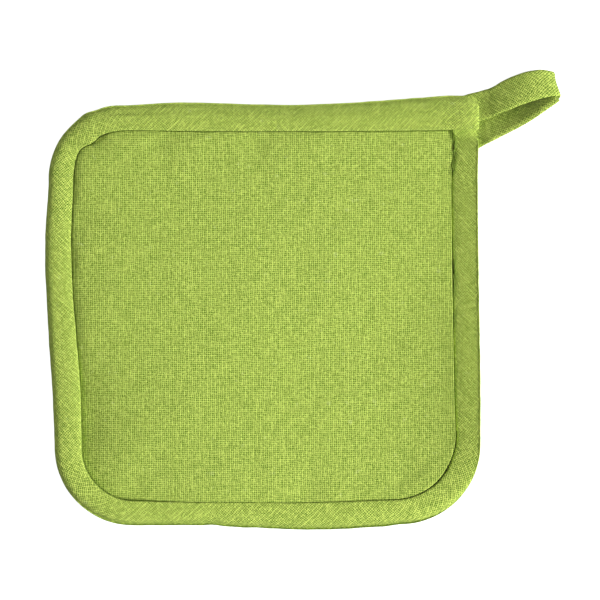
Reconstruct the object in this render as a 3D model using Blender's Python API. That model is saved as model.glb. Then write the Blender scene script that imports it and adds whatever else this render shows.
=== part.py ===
"""Square wadded cotton pot holder with a bias binding and a hanging loop.

The holder lies on its back: the underside is on z = 0, +Y points to its top edge and +X to the
side whose upper corner carries the loop. Lengths in the tables are millimetres; MM turns them
into metres.
"""

import math
from collections import namedtuple

import bmesh
import bpy
from mathutils import Vector

MM = 0.001
COLLECTION_NAME = "pot_holder"
CUTTER_COLLECTION_NAME = "pot_holder_cutters"

# Cloth thicknesses and the gap that neighbouring pieces keep
GAP = 0.3
BAND_CLOTH = 1.1
TAPE_WIDTH = 12.6
TAPE_THICK = 1.5
TAPE_EDGE_ROUNDING = 0.6

# Heights above the surface that the holder lies on
CHANNEL_TOP = 4.5
BAND_CROWN = 6.1
PAD_EDGE_LOW = BAND_CLOTH + GAP
PAD_EDGE_HIGH = CHANNEL_TOP - GAP
PAD_CROWN = 9.0

# The band stands higher along the left edge than along the right one
BAND_LEAN = 0.4
HALF_WIDTH = 100.0

# C-shaped section of the binding, from the front's inner edge round the fold to the back and along
# the channel that holds the pad. A point lies at "share" of the band's width plus "inset" from the
# fold, and at "crown" times the band's height plus "lift".
SectionRow = namedtuple("SectionRow", "share inset crown lift")
BAND_SECTION = (
    SectionRow(share=1.0, inset=-0.25, crown=1.0, lift=-0.5),
    SectionRow(share=1.0, inset=-1.8, crown=1.0, lift=-0.1),
    SectionRow(share=0.6, inset=0.0, crown=1.0, lift=0.0),
    SectionRow(share=0.32, inset=0.0, crown=1.0, lift=-0.25),
    SectionRow(share=0.0, inset=1.3, crown=1.0, lift=-1.1),
    SectionRow(share=0.0, inset=0.3, crown=0.6, lift=0.0),
    SectionRow(share=0.0, inset=0.0, crown=0.42, lift=0.0),
    SectionRow(share=0.0, inset=0.3, crown=0.2, lift=0.0),
    SectionRow(share=0.0, inset=1.4, crown=0.0, lift=0.2),
    SectionRow(share=0.0, inset=3.0, crown=0.0, lift=0.0),
    SectionRow(share=1.0, inset=0.8, crown=0.0, lift=0.0),
    SectionRow(share=1.0, inset=0.8, crown=0.0, lift=BAND_CLOTH),
    SectionRow(share=0.0, inset=2.1, crown=0.0, lift=BAND_CLOTH),
    SectionRow(share=0.0, inset=1.2, crown=0.0, lift=BAND_CLOTH + 0.7),
    SectionRow(share=0.0, inset=1.2, crown=0.0, lift=CHANNEL_TOP - 0.7),
    SectionRow(share=0.0, inset=2.1, crown=0.0, lift=CHANNEL_TOP),
    SectionRow(share=0.55, inset=0.0, crown=0.0, lift=CHANNEL_TOP + 0.2),
    SectionRow(share=1.0, inset=-0.4, crown=0.0, lift=CHANNEL_TOP + 0.1),
)

# Shape of a side between two corners: how far it bows outwards at each fifth of its run
Corner = namedtuple("Corner", "x y radius")
Side = namedtuple("Side", "fifth_1 fifth_2 fifth_3 fifth_4")

# Outer fold of the binding, clockwise from the top right corner
OUTER_CORNERS = (
    Corner(x=99.4, y=101.0, radius=5.0),
    Corner(x=100.2, y=-96.6, radius=37.0),
    Corner(x=-95.0, y=-97.4, radius=36.0),
    Corner(x=-99.2, y=95.6, radius=34.0),
)
OUTER_SIDES = (
    Side(-1.05, -1.05, -0.6, 0.0),
    Side(1.95, 2.15, 0.65, -0.35),
    Side(0.4, 1.55, 2.2, 2.05),
    Side(-0.2, -2.0, -2.6, -1.4),
)

# Seam where the binding meets the front panel
SEAM_CORNERS = (
    Corner(x=87.6, y=84.5, radius=1.5),
    Corner(x=88.9, y=-85.3, radius=29.0),
    Corner(x=-82.4, y=-85.9, radius=24.0),
    Corner(x=-87.4, y=84.6, radius=22.0),
)
SEAM_SIDES = (
    Side(-0.5, -0.2, 0.0, 0.0),
    Side(0.3, 1.0, 0.7, 0.35),
    Side(0.3, 0.7, 1.6, 1.4),
    Side(-0.2, -0.3, -0.2, -0.1),
)
CORNER_STEPS = 7
SIDE_STEPS = 21
SHARP_ANGLE = math.radians(50.0)

# Puckers that the seam draws into the front panel. "depth" is positive for a trough and negative
# for a ridge; "width" runs along the seam and "reach" runs into the panel.
Pucker = namedtuple("Pucker", "x y run_x run_y depth width reach")
PUCKERS = (
    Pucker(x=-47.5, y=84.0, run_x=0.1, run_y=-1.0, depth=0.75, width=6.0, reach=18.0),
    Pucker(x=-31.0, y=84.0, run_x=0.0, run_y=-1.0, depth=-0.45, width=7.0, reach=14.0),
    Pucker(x=-3.5, y=84.0, run_x=0.0, run_y=-1.0, depth=0.7, width=6.5, reach=18.0),
    Pucker(x=24.0, y=84.0, run_x=0.1, run_y=-1.0, depth=-0.4, width=7.0, reach=13.0),
    Pucker(x=57.0, y=84.0, run_x=-0.1, run_y=-1.0, depth=0.4, width=5.0, reach=12.0),
    Pucker(x=-87.0, y=62.0, run_x=1.0, run_y=0.0, depth=-0.4, width=7.0, reach=12.0),
    Pucker(x=-87.0, y=43.0, run_x=1.0, run_y=0.1, depth=0.7, width=6.0, reach=18.0),
    Pucker(x=-87.0, y=25.0, run_x=1.0, run_y=0.0, depth=-0.45, width=8.0, reach=12.0),
    Pucker(x=-82.5, y=-49.0, run_x=1.0, run_y=0.1, depth=0.6, width=6.5, reach=20.0),
    Pucker(x=-61.0, y=-84.0, run_x=0.1, run_y=1.0, depth=0.55, width=6.0, reach=14.0),
    Pucker(x=21.0, y=-86.0, run_x=0.0, run_y=1.0, depth=0.6, width=7.0, reach=16.0),
    Pucker(x=70.0, y=-78.0, run_x=-0.6, run_y=0.8, depth=0.5, width=9.0, reach=20.0),
)

# A pucker is fully there at the first share of its reach and dies away past the second
PUCKER_RISE = 0.25
PUCKER_FADE = 0.7

# Rings of the pad: distance in from the seam
FRONT_RINGS = (0.8, 2.0, 3.8, 6.5, 10.0, 14.5, 20.0, 26.0, 33.0, 41.0, 50.0, 59.0, 68.0, 77.0)
BACK_RINGS = (1.8, 4.5, 8.0, 13.0)
BACK_FLAT_FROM = 8.0
SEAM_TO_MIDDLE = 86.0
STEEP_REACH = 3.2
GENTLE_REACH = 26.0
STEEP_SHARE = 0.45
CORNER_SOFTNESS = 2.5

# The pad's edge lies this far inside the binding's fold. Where the loop's ends take up the fold,
# near their middle, it only passes the seam by a little.
TUCK_INSET = 2.8
LOOP_TUCK_PAST_SEAM = 1.2
LOOP_TUCK_MIDDLE = (99.0, 88.0)
LOOP_TUCK_NEAR = 18.0
LOOP_TUCK_FAR = 36.0

# Course of the loop's tape, from the end under the top band to the end under the right-hand band.
# "across" is the direction of the tape's width seen from above, in degrees.
LoopRow = namedtuple("LoopRow", "x y z across")
LOOP_COURSE = (
    LoopRow(x=93.5, y=94.0, z=2.9, across=-67.0),
    LoopRow(x=99.1, y=95.6, z=3.4, across=-67.0),
    LoopRow(x=103.7, y=97.1, z=5.0, across=-66.0),
    LoopRow(x=108.2, y=99.2, z=7.0, across=-65.0),
    LoopRow(x=114.4, y=102.3, z=8.8, across=-64.5),
    LoopRow(x=121.0, y=105.1, z=9.8, across=-65.0),
    LoopRow(x=127.2, y=106.5, z=9.9, across=-66.0),
    LoopRow(x=131.6, y=106.4, z=8.5, across=-66.5),
    LoopRow(x=134.1, y=105.2, z=5.4, across=-66.5),
    LoopRow(x=132.8, y=103.1, z=2.2, across=-64.0),
    LoopRow(x=129.2, y=100.4, z=0.9, across=-61.0),
    LoopRow(x=124.0, y=96.7, z=0.82, across=-58.0),
    LoopRow(x=118.6, y=93.1, z=0.82, across=-58.0),
    LoopRow(x=112.6, y=89.5, z=0.85, across=-60.0),
    LoopRow(x=106.2, y=86.0, z=1.1, across=-63.0),
    LoopRow(x=99.4, y=82.5, z=2.3, across=-65.0),
    LoopRow(x=93.6, y=79.4, z=2.7, across=-64.0),
)
LOOP_STEPS = 4
CUTTER_EXTRA = 1.0

# Finish of the dyed cotton, as linear colour, roughness and metallic
LIME_COTTON = (0.386, 0.515, 0.095, 1.0)
SHADED_COTTON = (0.345, 0.468, 0.085, 1.0)
COTTON_ROUGHNESS = 0.85


def smooth_between(before, start, end, after, share):
    """Catmull-Rom value between start and end."""
    slope_in = (end - before) / 2.0
    slope_out = (after - start) / 2.0
    cubic = 2.0 * (start - end) + slope_in + slope_out
    square = 3.0 * (end - start) - 2.0 * slope_in - slope_out
    return ((cubic * share + square) * share + slope_in) * share + start


def bow_at(side, share):
    """How far a side bows outwards at a share of its run; it bows nowhere at its ends."""
    values = (0.0, *side, 0.0)
    place = min(share, 0.9999) * (len(values) - 1)
    first = int(place)
    before = values[max(first - 1, 0)]
    after = values[min(first + 2, len(values) - 1)]
    return smooth_between(before, values[first], values[first + 1], after, place - first)


def rounded_outline(corners, sides):
    """Points of a four-sided outline with arcs for corners and bowed sides, clockwise."""
    arcs = []
    for index, corner in enumerate(corners):
        point = Vector((corner.x, corner.y))
        before = corners[index - 1]
        after = corners[(index + 1) % len(corners)]
        to_before = (Vector((before.x, before.y)) - point).normalized()
        to_after = (Vector((after.x, after.y)) - point).normalized()
        half_angle = to_before.angle(to_after) / 2.0
        middle = point + (to_before + to_after).normalized() * corner.radius / math.sin(half_angle)
        start = point + to_before * corner.radius / math.tan(half_angle) - middle
        turn = math.pi - 2.0 * half_angle
        arc = []
        for step in range(CORNER_STEPS + 1):
            angle = -turn * step / CORNER_STEPS
            cosine, sine = math.cos(angle), math.sin(angle)
            arc.append(middle + Vector((start.x * cosine - start.y * sine,
                                        start.x * sine + start.y * cosine)))
        arcs.append(arc)
    points = []
    for index, arc in enumerate(arcs):
        points.extend(arc)
        side_start = arc[-1]
        side_end = arcs[(index + 1) % len(arcs)][0]
        run = side_end - side_start
        outwards = Vector((-run.y, run.x)).normalized()
        for step in range(1, SIDE_STEPS):
            share = step / SIDE_STEPS
            points.append(side_start + run * share + outwards * bow_at(sides[index], share))
    return points


def soft_step(share):
    """Smooth rise from 0 to 1 as share goes from 0 to 1."""
    share = max(0.0, min(1.0, share))
    return share * share * (3.0 - 2.0 * share)


def pucker_height(x, y):
    """Height that the puckers add to the front panel at a place."""
    height = 0.0
    for pucker in PUCKERS:
        run = Vector((pucker.run_x, pucker.run_y)).normalized()
        offset = Vector((x - pucker.x, y - pucker.y))
        inwards = offset.dot(run) / pucker.reach
        aside = offset.dot(Vector((-run.y, run.x))) / pucker.width
        if inwards > 0.0:
            fade = soft_step(inwards / PUCKER_RISE) * math.exp(-((inwards / PUCKER_FADE) ** 2))
            height -= pucker.depth * fade * math.exp(-(aside ** 2))
    return height


def softened_distance(distance, x, y):
    """Distance in from the seam, rounded off where two seams meet in the square corner."""
    square_corner = SEAM_CORNERS[0]
    further = max(square_corner.x - x, square_corner.y - y, distance)
    return distance / (1.0 + (distance / further) ** CORNER_SOFTNESS) ** (1.0 / CORNER_SOFTNESS)


def front_height(distance, x, y):
    """Height of the front panel at a distance in from the seam."""
    distance = softened_distance(distance, x, y)
    steep = 1.0 - math.exp(-distance / STEEP_REACH)
    gentle = 1.0 - math.exp(-distance / GENTLE_REACH)
    rise = STEEP_SHARE * steep + (1.0 - STEEP_SHARE) * gentle
    return PAD_EDGE_HIGH + (PAD_CROWN - PAD_EDGE_HIGH) * rise + pucker_height(x, y)


def loft(name, rings, closed_rings, capped):
    """Skin rings of points with quads, as one closed mesh in metres.

    closed_rings joins the last ring to the first; capped fills the first and the last ring.
    """
    mesh_builder = bmesh.new()
    rows = [[mesh_builder.verts.new(point * MM) for point in ring] for ring in rings]
    count = len(rows[0])
    pairs = list(zip(rows, rows[1:]))
    if closed_rings:
        pairs.append((rows[-1], rows[0]))
    for lower, upper in pairs:
        for index in range(count):
            following = (index + 1) % count
            mesh_builder.faces.new((lower[index], lower[following], upper[following], upper[index]))
    if capped:
        mesh_builder.faces.new(list(reversed(rows[0])))
        mesh_builder.faces.new(rows[-1])
    bmesh.ops.recalc_face_normals(mesh_builder, faces=mesh_builder.faces)
    mesh = bpy.data.meshes.new(name)
    mesh_builder.to_mesh(mesh)
    mesh_builder.free()
    mesh.shade_smooth()
    mesh.set_sharp_from_angle(angle=SHARP_ANGLE)
    return bpy.data.objects.new(name, mesh)


def cotton_material(name, colour):
    """Plain cotton finish."""
    material = bpy.data.materials.new(name)
    material.use_nodes = True
    shader = material.node_tree.nodes["Principled BSDF"]
    shader.inputs["Base Color"].default_value = colour
    shader.inputs["Roughness"].default_value = COTTON_ROUGHNESS
    shader.inputs["Metallic"].default_value = 0.0
    return material


def flat_ring(points, height):
    """Points of an outline at one height."""
    return [Vector((point.x, point.y, height)) for point in points]


def inset_outline(seam, distance):
    """Outline a distance in from the seam, towards the middle of the holder."""
    return [point * (1.0 - distance / SEAM_TO_MIDDLE) for point in seam]


def tucked_edge(outer, seam):
    """Outline of the pad's thin edge inside the binding's channel."""
    points = []
    for edge, inner in zip(outer, seam):
        away = (edge - Vector(LOOP_TUCK_MIDDLE)).length
        nearness = soft_step((LOOP_TUCK_FAR - away) / (LOOP_TUCK_FAR - LOOP_TUCK_NEAR))
        full = (edge - inner).length - TUCK_INSET
        past_seam = full + (LOOP_TUCK_PAST_SEAM - full) * nearness
        points.append(inner + (edge - inner).normalized() * past_seam)
    return points


def build_pad(outer, seam):
    """Wadded pad: flat underside, thin tucked edge and a crowned, puckered front."""
    rings = []
    for distance in reversed(BACK_RINGS):
        flatness = soft_step((distance - BACK_RINGS[0]) / (BACK_FLAT_FROM - BACK_RINGS[0]))
        rings.append(flat_ring(inset_outline(seam, distance), PAD_EDGE_LOW * (1.0 - flatness)))
    tucked = tucked_edge(outer, seam)
    rings.append(flat_ring(seam, PAD_EDGE_LOW))
    rings.append(flat_ring(tucked, PAD_EDGE_LOW))
    rings.append(flat_ring(tucked, PAD_EDGE_HIGH))
    rings.append(flat_ring(seam, PAD_EDGE_HIGH))
    for distance in FRONT_RINGS:
        rings.append([Vector((point.x, point.y, front_height(distance, point.x, point.y)))
                      for point in inset_outline(seam, distance)])
    pad = loft("pad", rings, closed_rings=False, capped=True)
    pad.data.materials.append(cotton_material("pad_cotton", LIME_COTTON))
    return pad


def band_section(edge, seam):
    """Section of the binding on the line from its outer fold to the seam."""
    across = seam - edge
    inwards = across.normalized()
    height = BAND_CROWN - BAND_LEAN * edge.x / HALF_WIDTH
    section = []
    for row in BAND_SECTION:
        place = edge + inwards * (across.length * row.share + row.inset)
        section.append(Vector((place.x, place.y, height * row.crown + row.lift)))
    return section


def build_binding(outer, seam):
    """Bias strip folded round the whole edge of the pad."""
    sections = [band_section(edge, inner) for edge, inner in zip(outer, seam)]
    binding = loft("binding", sections, closed_rings=True, capped=False)
    binding.data.materials.append(cotton_material("binding_cotton", SHADED_COTTON))
    return binding


def tape_stations(lengthen):
    """Centre, direction and width direction of the tape at each step along its course."""
    rows = [(Vector((row.x, row.y, row.z)), row.across) for row in LOOP_COURSE]
    stations = []
    for first in range(len(rows) - 1):
        window = (rows[max(first - 1, 0)], rows[first], rows[first + 1],
                  rows[min(first + 2, len(rows) - 1)])
        for step in range(LOOP_STEPS):
            share = step / LOOP_STEPS
            centre = smooth_between(*(row[0] for row in window), share)
            across = smooth_between(*(row[1] for row in window), share)
            stations.append((centre, across))
    stations.append(rows[-1])
    centres = [centre for centre, _ in stations]
    result = []
    for index, (centre, across) in enumerate(stations):
        before = centres[max(index - 1, 0)]
        after = centres[min(index + 1, len(centres) - 1)]
        along = (after - before).normalized()
        if index == 0:
            centre = centre - along * lengthen
        if index == len(stations) - 1:
            centre = centre + along * lengthen
        angle = math.radians(across)
        width_way = Vector((math.cos(angle), math.sin(angle), 0.0))
        width_way = (width_way - along * width_way.dot(along)).normalized()
        result.append((centre, along, width_way))
    return result


def sweep_tape(name, grow, lengthen):
    """Folded tape swept along the loop's course, grown all round by a clearance."""
    half_width = TAPE_WIDTH / 2.0 + grow
    half_thick = TAPE_THICK / 2.0 + grow
    rounding = half_thick * TAPE_EDGE_ROUNDING
    profile = (
        (-half_width, -half_thick + rounding),
        (-half_width + rounding, -half_thick),
        (half_width - rounding, -half_thick),
        (half_width, -half_thick + rounding),
        (half_width, half_thick - rounding),
        (half_width - rounding, half_thick),
        (-half_width + rounding, half_thick),
        (-half_width, half_thick - rounding),
    )
    sections = []
    for centre, along, width_way in tape_stations(lengthen):
        upwards = width_way.cross(along)
        sections.append([centre + width_way * aside + upwards * height
                         for aside, height in profile])
    return loft(name, sections, closed_rings=False, capped=True)


def cut_loop_slit(binding, cutter):
    """Open the binding's fold where the tape's ends go in, side by side and almost touching."""
    slit = binding.modifiers.new("loop_slit", "BOOLEAN")
    slit.operation = "DIFFERENCE"
    slit.solver = "EXACT"
    slit.use_self = True
    slit.object = cutter


def new_collection(name):
    """Empty collection in the scene."""
    collection = bpy.data.collections.new(name)
    bpy.context.scene.collection.children.link(collection)
    return collection


def main():
    for old in list(bpy.data.objects):
        bpy.data.objects.remove(old, do_unlink=True)
    parts = new_collection(COLLECTION_NAME)
    cutters = new_collection(CUTTER_COLLECTION_NAME)

    outer = rounded_outline(OUTER_CORNERS, OUTER_SIDES)
    seam = rounded_outline(SEAM_CORNERS, SEAM_SIDES)
    parts.objects.link(build_pad(outer, seam))
    binding = build_binding(outer, seam)
    parts.objects.link(binding)

    loop = sweep_tape("hanging_loop", grow=0.0, lengthen=0.0)
    loop.data.materials.append(cotton_material("loop_cotton", SHADED_COTTON))
    parts.objects.link(loop)

    cutter = sweep_tape("loop_slit_cutter", grow=GAP, lengthen=CUTTER_EXTRA)
    cutter.hide_render = True
    cutter.display_type = "WIRE"
    cutters.objects.link(cutter)
    cut_loop_slit(binding, cutter)


main()
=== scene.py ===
"""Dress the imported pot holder: wadded pad, bias binding, hanging loop and sewing thread.

The holder lies on its back with its underside on z = 0, +Y towards its top edge and the loop at
the corner between +X and +Y. Lengths in the fields and tables are millimetres; MM turns them into
metres. A cut of cloth is a grid of quads whose points a method places one by one, with a UV map
that holds each point's place on the flat cloth in metres, so a weave keeps its real scale.
"""

import logging
import math
import random
from bisect import bisect_left
from dataclasses import dataclass
from enum import Enum
from typing import Callable

import bmesh
import bpy
from mathutils import Matrix, Vector, kdtree, noise
from mathutils.geometry import intersect_point_line


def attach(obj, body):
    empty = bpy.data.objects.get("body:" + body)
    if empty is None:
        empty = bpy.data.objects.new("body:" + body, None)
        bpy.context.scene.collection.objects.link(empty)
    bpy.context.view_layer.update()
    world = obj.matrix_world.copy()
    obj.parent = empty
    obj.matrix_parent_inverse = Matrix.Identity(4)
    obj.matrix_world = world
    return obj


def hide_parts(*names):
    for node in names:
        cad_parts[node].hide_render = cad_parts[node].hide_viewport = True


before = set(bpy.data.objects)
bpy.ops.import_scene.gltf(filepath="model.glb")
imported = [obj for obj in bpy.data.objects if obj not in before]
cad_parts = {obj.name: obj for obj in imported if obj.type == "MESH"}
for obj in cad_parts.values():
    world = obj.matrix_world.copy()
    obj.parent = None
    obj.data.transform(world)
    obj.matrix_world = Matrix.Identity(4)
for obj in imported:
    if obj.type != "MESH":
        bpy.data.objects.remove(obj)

log = logging.getLogger("pot_holder")

MM = 0.001
BODY = "root"
UV_NAME = "flat_cloth"
JOIN_DISTANCE = 0.00001 * MM

Colour = tuple[float, float, float, float]
Place = Callable[[int, int], Vector]
FlatPlace = Callable[[int, int], tuple[float, float]]


# ---- Small maths ----


def soft_step(share: float) -> float:
    """Smooth rise from 0 to 1 as share goes from 0 to 1."""
    share = max(0.0, min(1.0, share))
    return share * share * (3.0 - 2.0 * share)


def mix(start: float, end: float, share: float) -> float:
    """Value between start and end."""
    return start + (end - start) * share


def bell(share: float) -> float:
    """Smooth hump of height 1 around 0, which has faded away at 2."""
    return math.exp(-share * share)


def fill_up(distance: float, reach: float) -> float:
    """Rise from 0 at no distance towards 1 a few reaches away."""
    return 1.0 - math.exp(-distance / reach)


def lengths_along(points: list[Vector]) -> list[float]:
    """Measure along a row of points.

    Args:
        points: The row, of at least one point.

    Returns:
        How far along it each point lies, 0 for the first.
    """
    lengths = [0.0]
    for before, after in zip(points, points[1:]):
        lengths.append(lengths[-1] + (after - before).length)
    return lengths


def smooth_row(rows: list[Vector], steps: int, closed: bool = False) -> list[Vector]:
    """Run a soft curve through a row of points.

    Args:
        rows: Points that the curve goes through.
        steps: How many pieces each stretch between two points gets.
        closed: Whether the last point joins the first.

    Returns:
        Points along the curve, the first and last ones included.
    """
    count = len(rows)
    stretches = count if closed else count - 1
    points = []
    for first in range(stretches):
        if closed:
            before, after = rows[first - 1], rows[(first + 2) % count]
        else:
            before, after = rows[max(first - 1, 0)], rows[min(first + 2, count - 1)]
        start, end = rows[first], rows[(first + 1) % count]
        for step in range(steps):
            share = step / steps
            slope_in = (end - before) / 2.0
            slope_out = (after - start) / 2.0
            cubic = 2.0 * (start - end) + slope_in + slope_out
            square = 3.0 * (end - start) - 2.0 * slope_in - slope_out
            points.append(((cubic * share + square) * share + slope_in) * share + start)
    if not closed:
        points.append(rows[-1])
    return points


@dataclass(frozen=True)
class Ramp:
    """Soft rise from 0 to 1.

    Attributes:
        start: Where it starts.
        run: How long it is, or below zero where it rises the other way.
    """

    start: float
    run: float

    def at(self, place: float) -> float:
        """Share that is reached at a place."""
        return soft_step((place - self.start) / self.run)


@dataclass(frozen=True)
class Lumps:
    """Unevenness.

    Attributes:
        height: About how far the lumps rise and fall.
        spacing: How far apart they are.
        layer: Number that keeps them apart from other lumps.
    """

    height: float
    spacing: float
    layer: float

    def at(self, x: float, y: float = 0.0) -> float:
        """Rise or fall at a place."""
        return self.height * noise.noise(Vector((x / self.spacing, y / self.spacing, self.layer)))


@dataclass(frozen=True)
class Spot:
    """Place with something extra that fades out around it.

    Attributes:
        x: Its middle.
        y: Its middle.
        size: How much it adds there.
        spread: How far out it fades.
    """

    x: float
    y: float
    size: float
    spread: float

    def share(self, place: Vector) -> float:
        """Share of its size that is left at a place."""
        return bell((place - Vector((self.x, self.y))).length / self.spread)

    def at(self, place: Vector) -> float:
        """What it adds at a place."""
        return self.size * self.share(place)


# ---- Outlines ----


@dataclass(frozen=True)
class Corner:
    """Corner of an outline.

    Attributes:
        x: Its place before it is rounded.
        y: Its place before it is rounded.
        radius: Radius of its rounding.
    """

    x: float
    y: float
    radius: float

    @property
    def point(self) -> Vector:
        """Its place in plan."""
        return Vector((self.x, self.y))


@dataclass
class Outline:
    """Four-sided outline with rounded corners and bowed sides, clockwise from the top right.

    Attributes:
        corners: The corners, starting at the top right.
        bows: How far each side bows outwards at each fifth of its run.
        nudges: Local notches and bumps, whose size is how far they push outwards.
        corner_steps: Pieces of each corner's arc.
        side_steps: Pieces of each side.
    """

    corners: tuple[Corner, ...]
    bows: tuple[tuple[float, ...], ...]
    nudges: tuple[Spot, ...]
    corner_steps: int = 26
    side_steps: int = 150

    def bow_row(self, index: int) -> list[float]:
        """Spread a side's bows over its steps.

        Args:
            index: Number of the side.

        Returns:
            How far the side bows outwards at each step.
        """
        values = [Vector((value, 0.0)) for value in (0.0, *self.bows[index], 0.0)]
        row = smooth_row(values, self.side_steps // (len(values) - 1))
        return [value.x for value in row]

    def arc(self, index: int) -> list[Vector]:
        """Round a corner off.

        Args:
            index: Number of the corner.

        Returns:
            Points of its arc, clockwise.
        """
        corner = self.corners[index]
        to_before = (self.corners[index - 1].point - corner.point).normalized()
        to_after = (self.corners[(index + 1) % len(self.corners)].point - corner.point).normalized()
        half = to_before.angle(to_after) / 2.0
        middle = corner.point + (to_before + to_after).normalized() * corner.radius / math.sin(half)
        start = corner.point + to_before * corner.radius / math.tan(half) - middle
        turn = math.pi - 2.0 * half
        return [middle + Matrix.Rotation(-turn * step / self.corner_steps, 2) @ start
                for step in range(self.corner_steps + 1)]

    def side(self, index: int, start: Vector, end: Vector) -> list[Vector]:
        """Run a bowed side from one corner to the next.

        Args:
            index: Number of the side.
            start: Last point of the arc before it.
            end: First point of the arc after it.

        Returns:
            Points of the side, without its ends.
        """
        run = end - start
        outwards = Vector((-run.y, run.x)).normalized()
        bows = self.bow_row(index)
        return [start + run * step / self.side_steps + outwards * bows[step]
                for step in range(1, self.side_steps)]

    def points(self) -> list[Vector]:
        """Join the arcs and the sides.

        Returns:
            Points of the outline, clockwise from the start of the top right corner's arc.
        """
        arcs = [self.arc(index) for index in range(len(self.corners))]
        points = []
        for index, arc in enumerate(arcs):
            points.extend(arc)
            points.extend(self.side(index, arc[-1], arcs[(index + 1) % len(arcs)][0]))
        return [self.nudged(point) for point in points]

    def nudged(self, point: Vector) -> Vector:
        """Push a point outwards from the holder's middle, as the nudges say.

        Args:
            point: Point of the outline.

        Returns:
            Its new place.
        """
        shift = Vector((0.0, 0.0))
        for nudge in self.nudges:
            shift += point.normalized() * nudge.size * nudge.share(point)
        return point + shift


OUTER = Outline(
    corners=(Corner(100.3, 101.3, 5.0), Corner(100.2, -96.6, 37.0),
             Corner(-95.0, -97.4, 36.0), Corner(-99.2, 95.6, 34.0)),
    bows=((-1.25, -1.05, -0.6, 0.0), (1.95, 2.15, 0.7, 0.05),
          (0.4, 1.55, 2.2, 2.05), (-0.2, -2.0, -2.6, -1.4)),
    nudges=(Spot(-23.5, -98.6, -0.5, 4.0), Spot(55.8, -98.0, 0.5, 5.0),
            Spot(-81.5, 92.2, 0.45, 2.4), Spot(-76.8, 94.8, -0.35, 2.4),
            Spot(-88.0, 85.0, -0.35, 4.0),
            Spot(-99.0, 20.0, 0.3, 7.0), Spot(12.0, 98.5, -0.25, 6.0),
            Spot(-10.0, -99.0, 0.35, 8.0), Spot(100.4, 94.5, 0.35, 4.0), Spot(99.8, 84.5, -0.75, 6.0),
            Spot(-62.0, 98.0, -0.7, 12.0)),
)

SEAM = Outline(
    corners=(Corner(86.7, 84.4, 1.2), Corner(88.9, -85.3, 29.0),
             Corner(-82.4, -85.9, 24.0), Corner(-87.4, 84.4, 22.0)),
    bows=((-0.4, -0.5, -0.45, -0.3), (0.7, 1.1, 0.75, 0.65),
          (-0.2, 0.75, 1.95, 1.8), (-0.45, -0.6, -0.55, -0.4)),
    nudges=(Spot(-78.5, 79.5, -1.5, 4.0), Spot(-71.0, 83.5, -0.7, 6.0),
            Spot(-75.0, 80.2, -0.75, 4.0), Spot(-70.6, 83.2, 0.3, 2.6),
            Spot(-83.5, 75.0, 1.15, 5.5),
            Spot(87.0, 72.3, 0.15, 3.6), Spot(86.8, 79.6, 0.35, 1.3),
            Spot(86.8, 76.6, -0.35, 1.3), Spot(87.3, 68.4, -0.3, 1.4),
            Spot(88.3, 21.5, -0.25, 1.5), Spot(84.0, -68.0, -0.35, 6.0)),
)


# ---- Cloth grids and pieces ----


def cloth_grid(columns: int, rows: int, place: Place, flat: FlatPlace) -> bmesh.types.BMesh:
    """Grid of quads whose points are put in place one by one.

    Args:
        columns: Quads along the cut.
        rows: Quads across the cut.
        place: Gives the place of a point from its column and row, in millimetres.
        flat: Gives a point's place on the flat cloth from its column and row, in millimetres.

    Returns:
        A new bmesh in metres, with its UV map in metres too.
    """
    builder = bmesh.new()
    uv_layer = builder.loops.layers.uv.new(UV_NAME)
    bmesh.ops.create_grid(builder, x_segments=columns, y_segments=rows, size=1.0, calc_uvs=True)

    def cell(vert: bmesh.types.BMVert) -> tuple[int, int]:
        """Column and row of a point that is still in its first place."""
        return round((vert.co.x + 1.0) / 2.0 * columns), round((vert.co.y + 1.0) / 2.0 * rows)

    for face in builder.faces:
        for loop in face.loops:
            along, across = flat(*cell(loop.vert))
            loop[uv_layer].uv = (along * MM, across * MM)
    for vert in builder.verts:
        vert.co = place(*cell(vert)) * MM
    return builder


def close_roll(builder: bmesh.types.BMesh) -> None:
    """Join the last row of a rolled-up cut of cloth to its first, and fill both ends.

    Args:
        builder: The cut, which is changed.
    """
    bmesh.ops.remove_doubles(builder, verts=builder.verts, dist=JOIN_DISTANCE)
    open_edges = [edge for edge in builder.edges if edge.is_boundary]
    bmesh.ops.holes_fill(builder, edges=open_edges, sides=0)
    bmesh.ops.recalc_face_normals(builder, faces=builder.faces)


def new_piece(name: str, builder: bmesh.types.BMesh, finish: bpy.types.Material) -> bpy.types.Object:
    """Turn a bmesh into an object of the scene that rides on the holder's body.

    Args:
        name: Name of the piece.
        builder: Its shape, which is freed.
        finish: Its material.

    Returns:
        The new object, at the origin.
    """
    mesh = bpy.data.meshes.new(name)
    builder.to_mesh(mesh)
    builder.free()
    mesh.shade_smooth()
    mesh.materials.append(finish)
    piece = bpy.data.objects.new(name, mesh)
    bpy.context.scene.collection.objects.link(piece)
    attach(piece, BODY)
    return piece


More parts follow.
